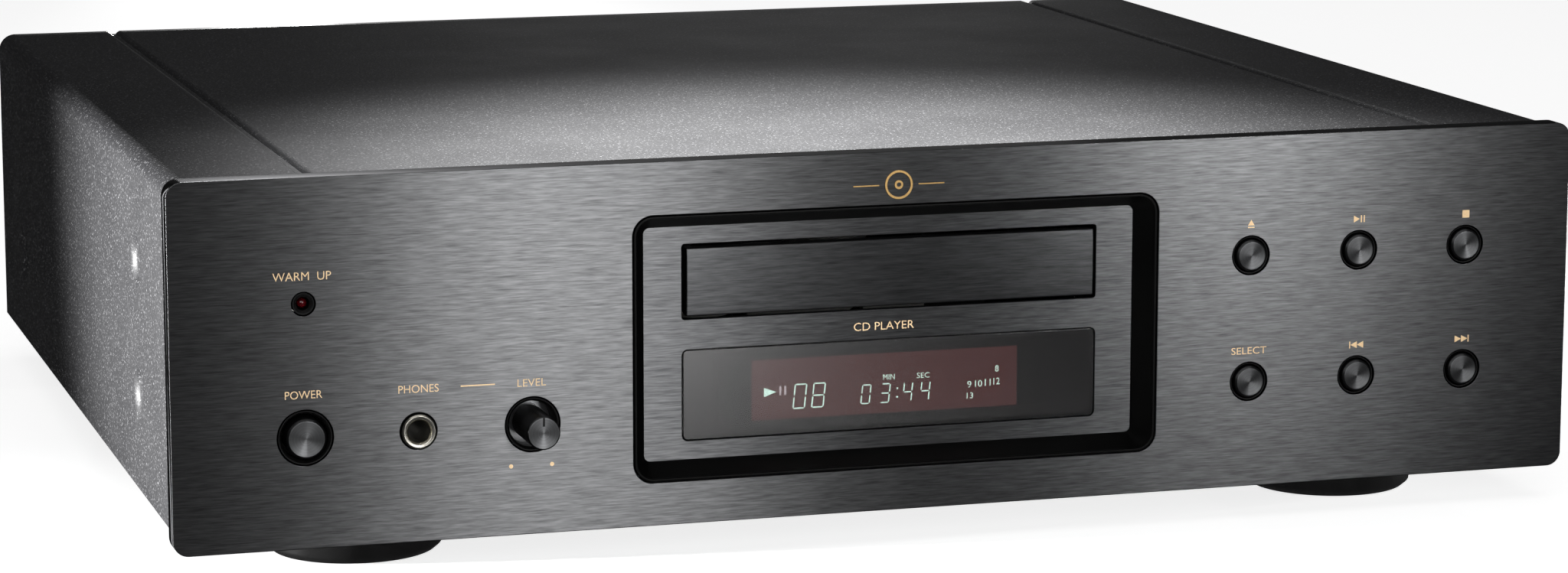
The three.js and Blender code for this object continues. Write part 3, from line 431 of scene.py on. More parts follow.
def slab(name, loops, start, end, bevel=0.3, back_bevel=None, axis="y", steps=4):
    """A plate between start and end whose edges, outer and inner, are all rounded.

    loops holds (loop maker, bevel or None): the outline first, and then holes."""
    back_bevel = bevel if back_bevel is None else back_bevel
    bm = bmesh.new()
    caps = ([], [])
    for loop, own in loops:
        front = bevel if own is None else own
        levels = []
        for k in range(steps + 1):
            t = math.pi / 2 * k / steps
            levels.append((front * (1 - math.sin(t)), start + front * (1 - math.cos(t))))
        for k in range(steps, -1, -1):
            t = math.pi / 2 * k / steps
            levels.append((back_bevel * (1 - math.sin(t)),
                           end - back_bevel * (1 - math.cos(t))))
        rings = []
        for inset, level in levels:
            rings.append([bm.verts.new(Vector(AXES[axis](u, v, level)) * MM)
                          for u, v in loop(inset)])
        for first, second in zip(rings, rings[1:]):
            bridge(bm, first, second)
        for ring in rings[steps:steps + 2]:
            for i, vert in enumerate(ring):
                bm.edges.get((ring[i - 1], vert)).smooth = False
        caps[0].append(rings[0])
        caps[1].append(rings[-1])
    for cap in caps:
        edges = []
        for ring in cap:
            for i, vert in enumerate(ring):
                edge = bm.edges.get((ring[i - 1], vert))
                edge.smooth = False
                edges.append(edge)
        bmesh.ops.triangle_fill(bm, edges=edges, use_beauty=True)
    return finish(name, bm)


def fillet(points, steps=5):
    """Rounds the corners of an open profile of (u, v) or (u, v, radius) points."""
    made = []
    for i, point in enumerate(points):
        p = Vector(point[:2])
        radius = point[2] if len(point) > 2 else 0
        if not radius or i in (0, len(points) - 1):
            made.append(tuple(p))
            continue
        a = (Vector(points[i - 1][:2]) - p).normalized()
        b = (Vector(points[i + 1][:2]) - p).normalized()
        half = a.angle(b) / 2
        centre = p + (a + b).normalized() * radius / math.sin(half)
        first = p + a * radius / math.tan(half) - centre
        last = p + b * radius / math.tan(half) - centre
        start = math.atan2(first.y, first.x)
        sweep = math.atan2(first.x * last.y - first.y * last.x, first.dot(last))
        for k in range(steps + 1):
            t = start + sweep * k / steps
            made.append((centre.x + radius * math.cos(t), centre.y + radius * math.sin(t)))
    return made


def turned(name, profile, axis="y", segments=96, sharp=32):
    """A profile of (radius, height[, corner radius]) points turned about an axis."""
    bm = bmesh.new()
    rings = []
    for radius, height in fillet(profile):
        if radius < 1e-6:
            rings.append([bm.verts.new(Vector(AXES[axis](0, 0, height)) * MM)])
            continue
        ring = []
        for i in range(segments):
            t = 2 * math.pi * i / segments
            place = AXES[axis](radius * math.cos(t), radius * math.sin(t), height)
            ring.append(bm.verts.new(Vector(place) * MM))
        rings.append(ring)
    closed = len(rings[0]) > 1 and len(rings[-1]) > 1
    pairs = list(zip(rings, rings[1:])) + ([(rings[-1], rings[0])] if closed else [])
    for first, second in pairs:
        if len(first) == 1 and len(second) == 1:
            continue
        if len(first) == 1 or len(second) == 1:
            pole, ring = (first[0], second) if len(first) == 1 else (second[0], first)
            for i in range(len(ring)):
                bm.faces.new((pole, ring[i], ring[(i + 1) % len(ring)]))
        else:
            bridge(bm, first, second)
    return finish(name, bm, sharp)


def brick(x0, x1, y0, y1, z0, z1, bevel=0.3, corner=None):
    """A block with rounded edges, as its own mesh in panel millimetres."""
    corner = bevel if corner is None else corner
    loop = rounded_rect(x0, x1, z0, z1, corner, 4)
    return slab("block", [(loop, None)], y0, y1, bevel, steps=2)


def merged(name, meshes, sharp=32):
    """Several meshes as one, each keeping its own shape."""
    bm = bmesh.new()
    for mesh in meshes:
        bm.from_mesh(mesh)
        bpy.data.meshes.remove(mesh)
    return finish(name, bm, sharp)


def moved(mesh, x=0, y=0, z=0):
    mesh.transform(Matrix.Translation(Vector((x, y, z)) * MM))
    return mesh


def lettering(text, x0, x1, z0, z1, front, depth=0.05):
    """Raised flat lettering that fills x0..x1 by z0..z1, its face at Y = front."""
    curve = bpy.data.curves.new("lettering", "FONT")
    curve.body = text
    curve.extrude = 0.5
    curve.offset = -0.004
    curve.resolution_u = 4
    holder = bpy.data.objects.new("lettering", curve)
    scene.collection.objects.link(holder)
    bpy.context.view_layer.update()
    graph = bpy.context.evaluated_depsgraph_get()
    mesh = bpy.data.meshes.new_from_object(holder.evaluated_get(graph))
    bpy.data.objects.remove(holder)
    bpy.data.curves.remove(curve)
    mesh.materials.clear()
    xs = [v.co.x for v in mesh.vertices]
    ys = [v.co.y for v in mesh.vertices]
    for v in mesh.vertices:
        u = (v.co.x - min(xs)) / (max(xs) - min(xs))
        w = (v.co.y - min(ys)) / (max(ys) - min(ys))
        v.co = Vector((x0 + (x1 - x0) * u, front + depth * (0.5 - v.co.z),
                       z0 + (z1 - z0) * w)) * MM
    return mesh


def flat_shape(points, front, depth=0.05):
    """A small printed or lit shape from an X, Z polygon."""
    bm = bmesh.new()
    faces = []
    for level in (front, front + depth):
        ring = [bm.verts.new(Vector((x, level, z)) * MM) for x, z in points]
        faces.append(ring)
        bm.faces.new(ring)
    bridge(bm, *faces)
    return finish("shape", bm)


def box_shape(x0, x1, z0, z1, front, depth=0.05):
    return flat_shape([(x0, z0), (x1, z0), (x1, z1), (x0, z1)], front, depth)


# ------------------------------------------------------------------ front panel

BUTTONS = ("button_eject", "button_play_pause", "button_stop",
           "button_select", "button_previous", "button_next")
BUTTON_HOLE, CONTROL_HOLE, PHONES_HOLE, LAMP_HOLE = 5.98, 8.08, 5.39, 3.48
WINDOW = (-80.8, 80.8, 12.7, 91.1)
WINDOW_CORNER = 6
PANEL = extent("front_panel")
holes = [(circle(*axis_of(n), BUTTON_HOLE), 0.15) for n in BUTTONS]
holes += [(circle(*axis_of(n), CONTROL_HOLE, 96), 0.2) for n in ("power_bezel", "level_bezel")]
holes += [(circle(axis_of("headphone_jack")[0], axis_of("power_bezel")[1] + 0.05,
                  PHONES_HOLE), 0.2)]
holes += [(circle(*axis_of("lamp_holder"), LAMP_HOLE, 48), 0.15)]
outline = rounded_rect(PANEL[0], PANEL[1], PANEL[4], PANEL[5], 4.5, 10)
window = rounded_rect(*WINDOW, WINDOW_CORNER, 12, hole=True)
piece("panel_front", slab("panel_front", [(outline, 0.25), (window, 0.3)] + holes,
                          PANEL[2], PANEL[3], 0.3),
      PANEL_METAL, "chassis", ["front_panel"], (0, 0, 0))


def ring_stack(name, rings, sharp=32):
    bm = bmesh.new()
    made = [[bm.verts.new(Vector(p) * MM) for p in ring] for ring in rings]
    for first, second in zip(made, made[1:] + made[:1]):
        bridge(bm, first, second)
    return finish(name, bm, sharp)


def surround():
    """The black window surround: a thin lip, then a hollow slope to the plate."""
    x0, x1, y0, y1, z0, z1 = extent("window_frame")
    plate = (-75.7, 75.7, 17.4, 86.4)
    profile = fillet([(0, y1), (0, 0.05, 0.15), (0.75, 0.05, 0.15), (1.0, 0.9, 0.3),
                      (4.45, 7.0, 0.4), (4.75, y1 - 0.1), (4.8, y1)], 4)
    rings = []
    for inset, depth in profile:
        share = inset / 4.8
        corner = 5.7 + (1.9 - 5.7) * share
        points = rounded_rect(x0 + (plate[0] - x0) * share, x1 + (plate[1] - x1) * share,
                              z0 + (plate[2] - z0) * share, z1 + (plate[3] - z1) * share,
                              corner, 12)(0)
        rings.append([(u, depth, v) for u, v in points])
    return ring_stack("window_surround", rings)


piece("window_surround", surround(), SURROUND_BLACK, "chassis", ["window_frame"],
      (0, 0, 0))

PLATE = extent("center_plate")
tray_slot = rounded_rect(-64, 64, 58.9, 81, 0.8, 4, hole=True)
display_hole = rounded_rect(-64.1, 64.1, 22.8, 49.9, 1.8, 8, hole=True)
plate_outline = rounded_rect(PLATE[0], PLATE[1], PLATE[4], PLATE[5], 1.9)
piece("plate_face",
      slab("plate_face", [(plate_outline, 0.3), (tray_slot, 0.25), (display_hole, 0.15)],
           PLATE[2], PLATE[3], 0.2),
      PLATE_METAL, "chassis", ["center_plate"], (0, 0, 0))


DOOR_BOW = 0.25


def door():
    """The tray door: a bar whose front is bowed between its top and bottom edges."""
    x0, x1, y0, y1, z0, z1 = extent("tray_door")
    profile = [(y1, z0, 0.3), (y1, z1, 0.3)]
    steps = 14
    bow = []
    for i in range(steps + 1):
        t = i / steps
        bow.append((y0 + DOOR_BOW * (1 - 4 * t * (1 - t)), z1 - (z1 - z0) * t))
    rounded = fillet([(y1 - 1, z0), (y1, z0, 0.3), (y1, z1, 0.3), (bow[0][0], z1, 0.45),
                      bow[2]], 4)[1:-1]
    tail = fillet([bow[-3], (bow[-1][0], z0, 0.45), (y1 - 1, z0)], 4)[1:-1]
    points = rounded + bow[1:-1] + tail
    return slab("door_bar", [(polyline(points), None)], x0, x1, 0.35, axis="x")


piece("door_bar", door(), DOOR_METAL, "tray", ["tray_door"], (0, 0, 0))

# --------------------------------------------------------------------- display

WIN = extent("display_window")
piece("display_pane",
      slab("display_pane", [(rounded_rect(WIN[0], WIN[1], WIN[4], WIN[5], 1.5), None)],
           WIN[2], WIN[3], 0.2),
      SMOKED, "chassis", ["display_window"], (0, 0, 0))

FILM_Y = 11.22
LIT_Y = 11.06
VFD = extent("display_module")
pins = [brick(x, x + 0.5, VFD[3] - 1.2, VFD[3], VFD[4] + 0.6, VFD[4] + 1.8, 0.1)
        for x in range(-47, 48, 3)]
body = slab("tube", [(rounded_rect(VFD[0], VFD[1], VFD[4], VFD[5], 1.0), None)],
            VFD[2], VFD[3] - 1.1, 0.5)
piece("display_envelope", merged("display_envelope", [body] + pins), TRIM, "chassis",
      ["display_module"], (0, 0, 0))
# The filter film glows with painted light, so the display's maroon area shows through the dark
# window.
piece("display_film_painted_glow", box_shape(-42, 40.5, 27, 45, FILM_Y, 0.2), VFD_FILM_PAINTED_GLOW, "chassis",
      (), (0, 0, 0))

SEGMENTS = {"0": "abcdef", "3": "abgcd", "4": "fgbc", "8": "abcdefg"}


def digit(character, x, z, width, height, lean=0.105, thick=0.36):
    """A seven-segment figure, leaning to the right."""
    gap = 0.28
    half = height / 2
    spans = {
        "a": ((gap, height), (width - gap, height)), "g": ((gap, half), (width - gap, half)),
        "d": ((gap, 0), (width - gap, 0)),
        "f": ((0, half + gap), (0, height - gap)), "e": ((0, gap), (0, half - gap)),
        "b": ((width, half + gap), (width, height - gap)),
        "c": ((width, gap), (width, half - gap)),
    }
    made = []
    for key in SEGMENTS[character]:
        (u0, v0), (u1, v1) = spans[key]
        t = thick / 2
        if v0 == v1:
            v = min(max(v0, t), height - t)
            corners = [(u0, v), (u0 + t, v - t), (u1 - t, v - t), (u1, v),
                       (u1 - t, v + t), (u0 + t, v + t)]
        else:
            u = min(max(u0, t), width - t)
            corners = [(u, v0), (u + t, v0 + t), (u + t, v1 - t), (u, v1),
                       (u - t, v1 - t), (u - t, v0 + t)]
        made.append(flat_shape([(x + u + v * lean, z + v) for u, v in corners], LIT_Y, 0.1))
    return made


lit = []
for i, character in enumerate("08"):
    lit += digit(character, -29.6 + 5.75 * i, 29.8, 3.85, 7.5)
for character, x in (("0", -8.6), ("3", -2.6), ("4", 4.4), ("4", 9.85)):
    lit += digit(character, x, 30.0, 2.9, 5.9, thick=0.32)
for z in (31.6, 34.2):
    lit.append(flat_shape(circle(2.25 + z * 0.02, z, 0.28, 16)(0), LIT_Y, 0.1))
lit.append(flat_shape([(-38.3, 33.9), (-34.6, 35.25), (-38.3, 36.6)], LIT_Y, 0.1))
lit.append(lettering("MIN", -1.5, 2.1, 37.0, 38.6, LIT_Y))
lit.append(lettering("SEC", 9.0, 13.0, 36.9, 38.5, LIT_Y))
for text, x0, x1, z0, z1 in (("9", 24.9, 26.1, 33.1, 35.1), ("10", 27.3, 29.5, 33.2, 35.2),
                             ("11", 30.4, 32.2, 33.4, 35.4), ("12", 33.1, 35.1, 33.6, 35.6),
                             ("8", 33.6, 34.7, 37.5, 39.4), ("13", 24.7, 26.7, 29.8, 31.6)):
    lit.append(lettering(text, x0, x1, z0, z1, LIT_Y))
piece("display_segments", merged("display_segments", lit), VFD_LIT, "chassis",
      (), (0, 0, 0))
dim = [box_shape(-33.6, -33.0, 34.2, 36.9, LIT_Y), box_shape(-32.1, -31.5, 34.2, 36.9, LIT_Y)]
piece("display_pause_bars", merged("display_pause_bars", dim), VFD_DIM, "chassis",
      (), (0, 0, 0))

# --------------------------------------------------------------------- controls


def button_cap():
    """A pressed cap: a shallow dish, a rounded shoulder and a flange behind."""
    return turned("cap", [(0, -0.82), (1.5, -0.84), (3.9, -1.0, 0.3), (4.15, -1.0, 0.1),
                          (4.8, -0.35, 0.3), (4.8, 11.6, 0.1), (6.2, 11.6, 0.2),
                          (6.2, 12.8, 0.2), (0, 12.8)])


GUIDE = extent("button_guide")
WEB_FRONT = GUIDE[3] - 1.6
guide_parts = []
for name in BUTTONS:
    x, z = axis_of(name)
    piece(name + "_cap", button_cap(), SPUN_METAL, name, [name], (x, 0, z))
    guide_parts.append(moved(turned("collar", [
        (5.15, GUIDE[3]), (5.15, 0.9, 0.3), (5.3, 0.5, 0.12), (5.58, 0.45, 0.1),
        (5.7, 0.6, 0.08), (5.7, GUIDE[3])]), x, 0, z))
upper, lower = axis_of("button_stop")[1], axis_of("button_next")[1]
for row in (upper, lower):
    bores = [(circle(*axis_of(n), 5.4), 0.05) for n in BUTTONS
             if abs(axis_of(n)[1] - row) < 1]
    guide_parts.append(slab("web", [
        (rounded_rect(GUIDE[0], GUIDE[1], row - 8, row + 8, 1), None)] + bores,
        WEB_FRONT, GUIDE[3], 0.2))
guide_parts += [brick(x - 4, x + 4, WEB_FRONT, GUIDE[3], lower + 7.5, upper - 7.5, 0.2)
                for x in (128, 163)]
piece("button_collars", merged("button_collars", guide_parts), RING_TRIM, "chassis",
      ["button_guide"], (0, 0, 0))


def control_ring(node, name):
    x, z = axis_of(node)
    mesh = turned(name, [(6.7, 7.2, 0.1), (6.7, 1.3, 0.5), (7.35, 0.15, 0.35),
                         (7.8, 0.1, 0.15), (7.8, 7.2, 0.1)])
    piece(name, mesh, RING_TRIM, "chassis", [node], (x, 0, z))


control_ring("power_bezel", "power_ring")
control_ring("level_bezel", "level_ring")

x, z = axis_of("power_button")
piece("power_cap", turned("power_cap", [
    (0, -1.55), (2.0, -1.6), (4.7, -1.95, 0.5), (5.15, -2.0, 0.12), (5.8, -1.25, 0.4),
    (5.8, 10, 0.3), (1.8, 10), (1.8, 16, 0.3), (0, 16)]),
    SPUN_METAL, "power_button", ["power_button"], (x, 0, z))

KNOB = extent("level_knob")
knob_x, knob_z = axis_of("level_pot")[0], axis_of("power_button")[1]


def knob():
    """The knob: a dished spun end, a rounded rim, and the spindle behind it."""
    front = KNOB[2]
    return turned("knob", [(0, front + 0.28), (1.6, front + 0.24), (4.1, front + 0.02, 0.4),
                           (4.45, front, 0.15), (4.9, front + 0.5, 0.3), (4.9, 5, 0.3),
                           (3, 5), (3, 15, 0.3), (0, 15)])


piece("level_knob_turned", knob(), SPUN_METAL, "level_knob",
      ["level_knob"], (knob_x, 0, knob_z))
piece("level_pointer", moved(brick(-0.3, 0.3, KNOB[2] - 0.02, KNOB[2] + 0.6, 2.0, 4.55, 0.08),
                             0, 0, 0),
      TRIM, "level_knob", (), (knob_x, 0, knob_z))

jack_x, jack_z = axis_of("headphone_jack")[0], axis_of("power_bezel")[1] + 0.05
JACK = extent("headphone_jack")
piece("phones_nose", turned("phones_nose", [
    (3.2, 9.8), (3.2, -0.7, 0.5), (3.75, -1.5, 0.3), (4.6, -1.6, 0.25), (5.0, -1.15, 0.3),
    (5.0, 0.6), (5.0, 9.8)]),
    NICKEL, "chassis", ["headphone_jack"], (jack_x, 0, jack_z))
shell = brick(JACK[0], JACK[1], 9.85, JACK[3], JACK[4], JACK[5], 0.5)
piece("phones_body", shell, TRIM, "chassis", (), (0, 0, 0))

lamp_x, lamp_z = axis_of("lamp_holder")
piece("lamp_ring", turned("lamp_ring", [
    (1.9, 11), (1.9, 1.1, 0.3), (2.75, 0.35, 0.25), (3.18, 0.3, 0.12), (3.18, 11)]),
    RING_TRIM, "chassis", ["lamp_holder"], (lamp_x, 0, lamp_z))
piece("lamp_lens", turned("lamp_lens", [
    (0, 1.55), (0.6, 1.63), (1.1, 1.95), (1.4, 2.5), (1.5, 3.2), (1.5, 11.4), (1.9, 11.4),
    (1.9, 12.4, 0.1), (0, 12.4)], segments=48, sharp=60),
    LAMP_RED, "chassis", ["warm_up_lamp"], (lamp_x, 0, lamp_z))

# ------------------------------------------------------------- printing, emblem

INK = -0.04


def arrow(x0, x1, z0, z1):
    """A solid triangle whose point is at x1."""
    return flat_shape([(x0, z0), (x1, (z0 + z1) / 2), (x0, z1)], INK)


legends = [
    lettering("WARM  UP", -185.4, -168.7, 77.45, 79.85, INK),
    lettering("POWER", -182.5, -171.8, 43.55, 45.85, INK),
    lettering("PHONES", -149.9, -138.2, 43.45, 45.7, INK),
    lettering("LEVEL", -115.2, -106.8, 43.45, 45.6, INK),
    lettering("SELECT", 104.9, 116.2, 40.6, 42.7, INK),
    box_shape(-131.8, -121.8, 44.43, 44.8, INK),
    flat_shape(circle(-117.3, 20.3, 0.62, 24)(0), INK),
    flat_shape(circle(-105.2, 20.3, 0.62, 24)(0), INK),
    flat_shape([(109.5, 79.75), (111.6, 79.75), (110.55, 81.5)], INK),
    box_shape(109.5, 111.6, 79.0, 79.35, INK),
    arrow(143.9, 145.8, 79.1, 81.2),
    box_shape(146.15, 146.55, 79.1, 81.2, INK), box_shape(147.1, 147.5, 79.1, 81.2, INK),
    box_shape(179.7, 182.0, 78.95, 81.25, INK),
    box_shape(143.3, 143.65, 40.5, 42.6, INK),
    arrow(145.8, 143.7, 40.5, 42.6), arrow(147.9, 145.8, 40.5, 42.6),
    arrow(178.2, 180.35, 40.5, 42.6), arrow(180.35, 182.5, 40.5, 42.6),
    box_shape(182.55, 182.9, 40.5, 42.6, INK),
]
piece("panel_legends", merged("panel_legends", legends), PRINT, "chassis",
      (), (0, 0, 0))
piece("plate_legend", lettering("CD PLAYER", -11.6, 7.0, 52.7, 55.1, 8 + INK), PRINT,
      "chassis", (), (0, 0, 0))

EMBLEM_Z = 97.0
ring = slab("ring", [(circle(0, EMBLEM_Z, 4.3, 64, hole=False), None),
                     (circle(0, EMBLEM_Z, 3.55, 64), None)], -0.25, 0.02, 0.08)
hub = slab("hub", [(circle(0, EMBLEM_Z, 1.35, 48, hole=False), None),
                   (circle(0, EMBLEM_Z, 0.62, 32), None)], -0.25, 0.02, 0.08)
bars = [brick(x0, x0 + 8.0, -0.25, 0.02, EMBLEM_Z - 0.22, EMBLEM_Z + 0.22, 0.08)
        for x0 in (-14.0, 6.0)]
piece("front_emblem", merged("front_emblem", [ring, hub] + bars), EMBLEM, "chassis",
      (), (-0.6, 0, 0))

# ----------------------------------------------------------------- cover, screws

COVER = extent("top_cover")
GROOVE_X, GROOVE_HALF, GROOVE_FLAT, GROOVE_DEPTH = 173.5, 2.65, 1.15, 1.1
EDGE_RADIUS = 4.4
SCREWS = [(63.5, 74.7), (63.5, 34.8), (316.5, 34.8)]
DIMPLE_RADIUS, DIMPLE_DEPTH, SHEET = 9.0, 1.5, 1.2


def ease(t):
    t = min(max(t, 0), 1)
    return t * t * (3 - 2 * t)


def groove_drop(x, y):
    away = abs(abs(x) - GROOVE_X)
    across = ease((GROOVE_HALF - away) / (GROOVE_HALF - GROOVE_FLAT))
    return GROOVE_DEPTH * across * ease((y - COVER[2] - 3.0) / 3.5)


def dimple_drop(y, z):
    deepest = 0
    for sy, sz in SCREWS:
        away = math.hypot(y - sy, z - sz)
        deepest = max(deepest, DIMPLE_DEPTH * ease((DIMPLE_RADIUS - away) / 3.6))
    return deepest


def spaced(stops, centres, reach, fine, coarse):
    """Sample places between two stops, closer together round the centres."""
    places = [stops[0]]
    while places[-1] < stops[1] - 1e-6:
        here = places[-1]
        near = any(abs(here + fine / 2 - c) < reach for c in centres)
        step = fine if near else coarse
        ahead = [c - reach for c in centres if c - reach > here + 1e-6]
        if not near and ahead:
            step = min(step, ahead[0] - here)
        places.append(min(here + max(step, 0.05), stops[1]))
    return places


def cover_sheet():
    """The folded cover as one skin: sides with dimples, rounded folds, grooved top."""
    x1, top, bottom = COVER[1], COVER[5], COVER[4]
    side_z = spaced((bottom, top - EDGE_RADIUS), [z for _, z in SCREWS[:2]], 10.5, 0.75, 6)
    path = [("side", z) for z in side_z]
    path += [("fold", a) for a in (11.25, 22.5, 33.75, 45, 56.25, 67.5, 78.75)]
    top_x = spaced((-(x1 - EDGE_RADIUS), x1 - EDGE_RADIUS), [-GROOVE_X, GROOVE_X], 3.4,
                   0.4, 12)
    rows = spaced((COVER[2], COVER[3]), [COVER[2] + 6.5] + sorted({y for y, _ in SCREWS}),
                  10.5, 0.75, 9)
    bm = bmesh.new()
    grid = []
    for y in rows:
        right = []
        for kind, value in path:
            if kind == "side":
                right.append((x1 - dimple_drop(y, value), value))
            else:
                t = math.radians(value)
                right.append((x1 - EDGE_RADIUS + EDGE_RADIUS * math.cos(t),
                              top - EDGE_RADIUS + EDGE_RADIUS * math.sin(t)))
        left = [(-u, v) for u, v in right]
        across = [(u, top - groove_drop(u, y)) for u in top_x]
        line = left + across + right[::-1]
        grid.append([bm.verts.new(Vector((u, y, v)) * MM) for u, v in line])
    for first, second in zip(grid, grid[1:]):
        for i in range(len(first) - 1):
            bm.faces.new((first[i], second[i], second[i + 1], first[i + 1]))
    for face in bm.faces:
        face.smooth = True
    mesh = bpy.data.meshes.new("cover_sheet")
    bm.to_mesh(mesh)
    bm.free()
    return mesh


cover = piece("cover_sheet", cover_sheet(), COATING, "chassis",
              ["top_cover"], (0, 0, 0))
thick = cover.modifiers.new("sheet", "SOLIDIFY")
thick.thickness = SHEET * MM
thick.offset = -1
thick.use_even_offset = True
edge = cover.modifiers.new("edge", "BEVEL")
edge.width = 0.25 * MM
edge.segments = 2
edge.limit_method = "ANGLE"
edge.angle_limit = math.radians(60)
edge.harden_normals = False


def screw_head():
    """A pan head with a cross recess, its axis along +X, its seat at zero."""
    head = turned("head", [(0, 1.3), (1.6, 1.22), (2.9, 0.85, 0.5), (3.3, 0.1, 0.1),
                           (3.3, -0.6, 0.05), (1.6, -0.6), (1.6, -7.4, 0.3), (0, -7.4)],
                  axis="x", segments=48)
    holder = bpy.data.objects.new("head", head)
    scene.collection.objects.link(holder)
    cutters = []
    for turn in (0, 90):
        bm = bmesh.new()
        bmesh.ops.create_cube(bm, size=1)
        bmesh.ops.scale(bm, vec=Vector((1.8, 3.4, 0.7)) * MM, verts=bm.verts)
        bmesh.ops.translate(bm, vec=Vector((1.35, 0, 0)) * MM, verts=bm.verts)
        bmesh.ops.rotate(bm, matrix=Matrix.Rotation(math.radians(turn + 20), 3, "X"),
                         verts=bm.verts)
        mesh = bpy.data.meshes.new("cross")
        bm.to_mesh(mesh)
        bm.free()
        cutter = bpy.data.objects.new("cross", mesh)
        scene.collection.objects.link(cutter)
        cut = holder.modifiers.new("cut", "BOOLEAN")
        cut.object = cutter
        cut.solver = "EXACT"
        cutters.append(cutter)
    bpy.context.view_layer.update()
    graph = bpy.context.evaluated_depsgraph_get()
    done = bpy.data.meshes.new_from_object(holder.evaluated_get(graph))
    for obj in [holder] + cutters:
        bpy.data.objects.remove(obj)
    bm = bmesh.new()
    bm.from_mesh(done)
    bpy.data.meshes.remove(done)
    return finish("screw_head", bm)


HEAD = screw_head()
for side, label in ((-1, "left"), (1, "right")):
    for i, (y, z) in enumerate(SCREWS):
        node = f"cover_screw_{label}_{i + 1}"
        mesh = HEAD.copy()
        if side < 0:
            mesh.transform(Matrix.Rotation(math.pi, 4, "Z"))
        mesh.transform(Matrix.Rotation(math.radians(37 * (i + 1)), 4, "X"))
        piece(f"fixing_screw_{label}_{i + 1}", mesh, SCREW_STEEL, "chassis",
              [node], (side * (COVER[1] - DIMPLE_DEPTH - 0.2), y, z))
bpy.data.meshes.remove(HEAD)

# ------------------------------------------------------------------------- feet

for name in ("foot_front_left", "foot_front_right", "foot_rear_left", "foot_rear_right"):
    x0, x1, y0, y1, z0, z1 = extent(name)
    radius = (x1 - x0) / 2
    centre = ((x0 + x1) / 2, (y0 + y1) / 2, 0)
    piece(name + "_turned", turned(name, [
        (0, z0 + 1.0), (17.5, z0 + 1.0), (18.2, z0 + 0.3, 0.3), (24.0, z0 + 0.3, 0.6),
        (radius, z0 + 2.0, 1.2), (radius, z1 - 0.6, 0.4), (radius - 0.6, z1, 0.2), (0, z1)],
        axis="z", segments=128), FOOT_BLACK, "chassis", [name], centre)
    piece(name + "_pad", turned(name + "_pad", [
        (0, z0 + 0.9), (3.0, z0 + 0.9), (3.4, z0, 0.4), (16.6, z0, 0.5), (17.2, z0 + 1.1),
        (0, z0 + 1.1)], axis="z", segments=96), RUBBER, "chassis", (), centre)

# ------------------------------------------------------------ rear and the tray

REAR = extent("rear_panel")
rear_y = REAR[3]
ANALOG_X = (126, 150)
COAX_X, OPTICAL_X, JACK_Z, INLET_X = 88, 62, 34, -165
rear_holes = [(circle(x, JACK_Z, 5.2), 0.15) for x in ANALOG_X + (COAX_X,)]
rear_holes.append((rounded_rect(OPTICAL_X - 5.5, OPTICAL_X + 5.5, JACK_Z - 5.5, JACK_Z + 5.5,
                                0.6, 4, hole=True), 0.15))
rear_holes.append((rounded_rect(INLET_X - 14.1, INLET_X + 14.1, JACK_Z - 10.3, JACK_Z + 10.3,
                                1, 4, hole=True), 0.15))
piece("rear_plate", slab("rear_plate", [
    (rounded_rect(REAR[0], REAR[1], REAR[4], REAR[5], 4), 0.2)] + rear_holes,
    REAR[2], REAR[3], 0.2), COATING, "chassis", ["rear_panel"], (0, 0, 0))


def phono(x, ring_material, name):
    end = rear_y + 10.2
    sleeve = turned(name, [
        (0, end - 20), (4.85, end - 20, 0.3), (4.85, end - 8.6), (4.85, end - 8, 0.2),
        (4.15, end - 8, 0.1), (4.15, end, 0.25), (3.35, end, 0.15), (3.35, end - 8.6),
        (0, end - 8.6)])
    piece(name, sleeve, NICKEL, "chassis", (), (x, 0, JACK_Z))
    core = turned(name + "_core", [
        (1.7, end - 8.5), (3.3, end - 8.5), (3.3, end - 0.6, 0.3), (1.7, end - 0.6, 0.2)],
        segments=64)
    piece(name + "_core", core, ring_material, "chassis", (),
          (x, 0, JACK_Z))
    washer = turned(name + "_washer", [
        (4.95, rear_y + 0.05), (4.95, rear_y + 1.1, 0.1), (7.4, rear_y + 1.1, 0.35),
        (7.4, rear_y + 0.05, 0.1)], segments=64)
    piece(name + "_washer", washer, ring_material, "chassis", (),
          (x, 0, JACK_Z))


phono(ANALOG_X[0], WHITE_RING, "phono_left")
phono(ANALOG_X[1], CERAMIC, "phono_right")
phono(COAX_X, ORANGE_RING, "phono_digital")
for node, name, x0, x1 in (("analog_jacks", "analog_block", ANALOG_X[0] - 10, ANALOG_X[1] + 10),
                           ("digital_jacks", "digital_block", OPTICAL_X - 8, COAX_X + 8)):
    piece(name, brick(x0, x1, rear_y - 13.5, rear_y - 1.5, JACK_Z - 10, JACK_Z + 8, 0.4),
          TRIM, "chassis", [node], (0, 0, 0))
optical = slab("optical", [
    (rounded_rect(OPTICAL_X - 5, OPTICAL_X + 5, JACK_Z - 5, JACK_Z + 5, 0.5, 4), None),
    (rounded_rect(OPTICAL_X - 3.1, OPTICAL_X + 3.1, JACK_Z - 3.1, JACK_Z + 3.1, 0.8, 4,
                  hole=True), None)], rear_y - 1.4, rear_y + 2.5, 0.2)
piece("optical_socket", optical, TRIM, "chassis", (), (0, 0, 0))
piece("optical_shutter", brick(OPTICAL_X - 3.0, OPTICAL_X + 3.0, rear_y - 0.6, rear_y + 1.2,
                               JACK_Z - 3.0, JACK_Z + 3.0, 0.2, 0.7),
      RUBBER, "chassis", (), (0, 0, 0))

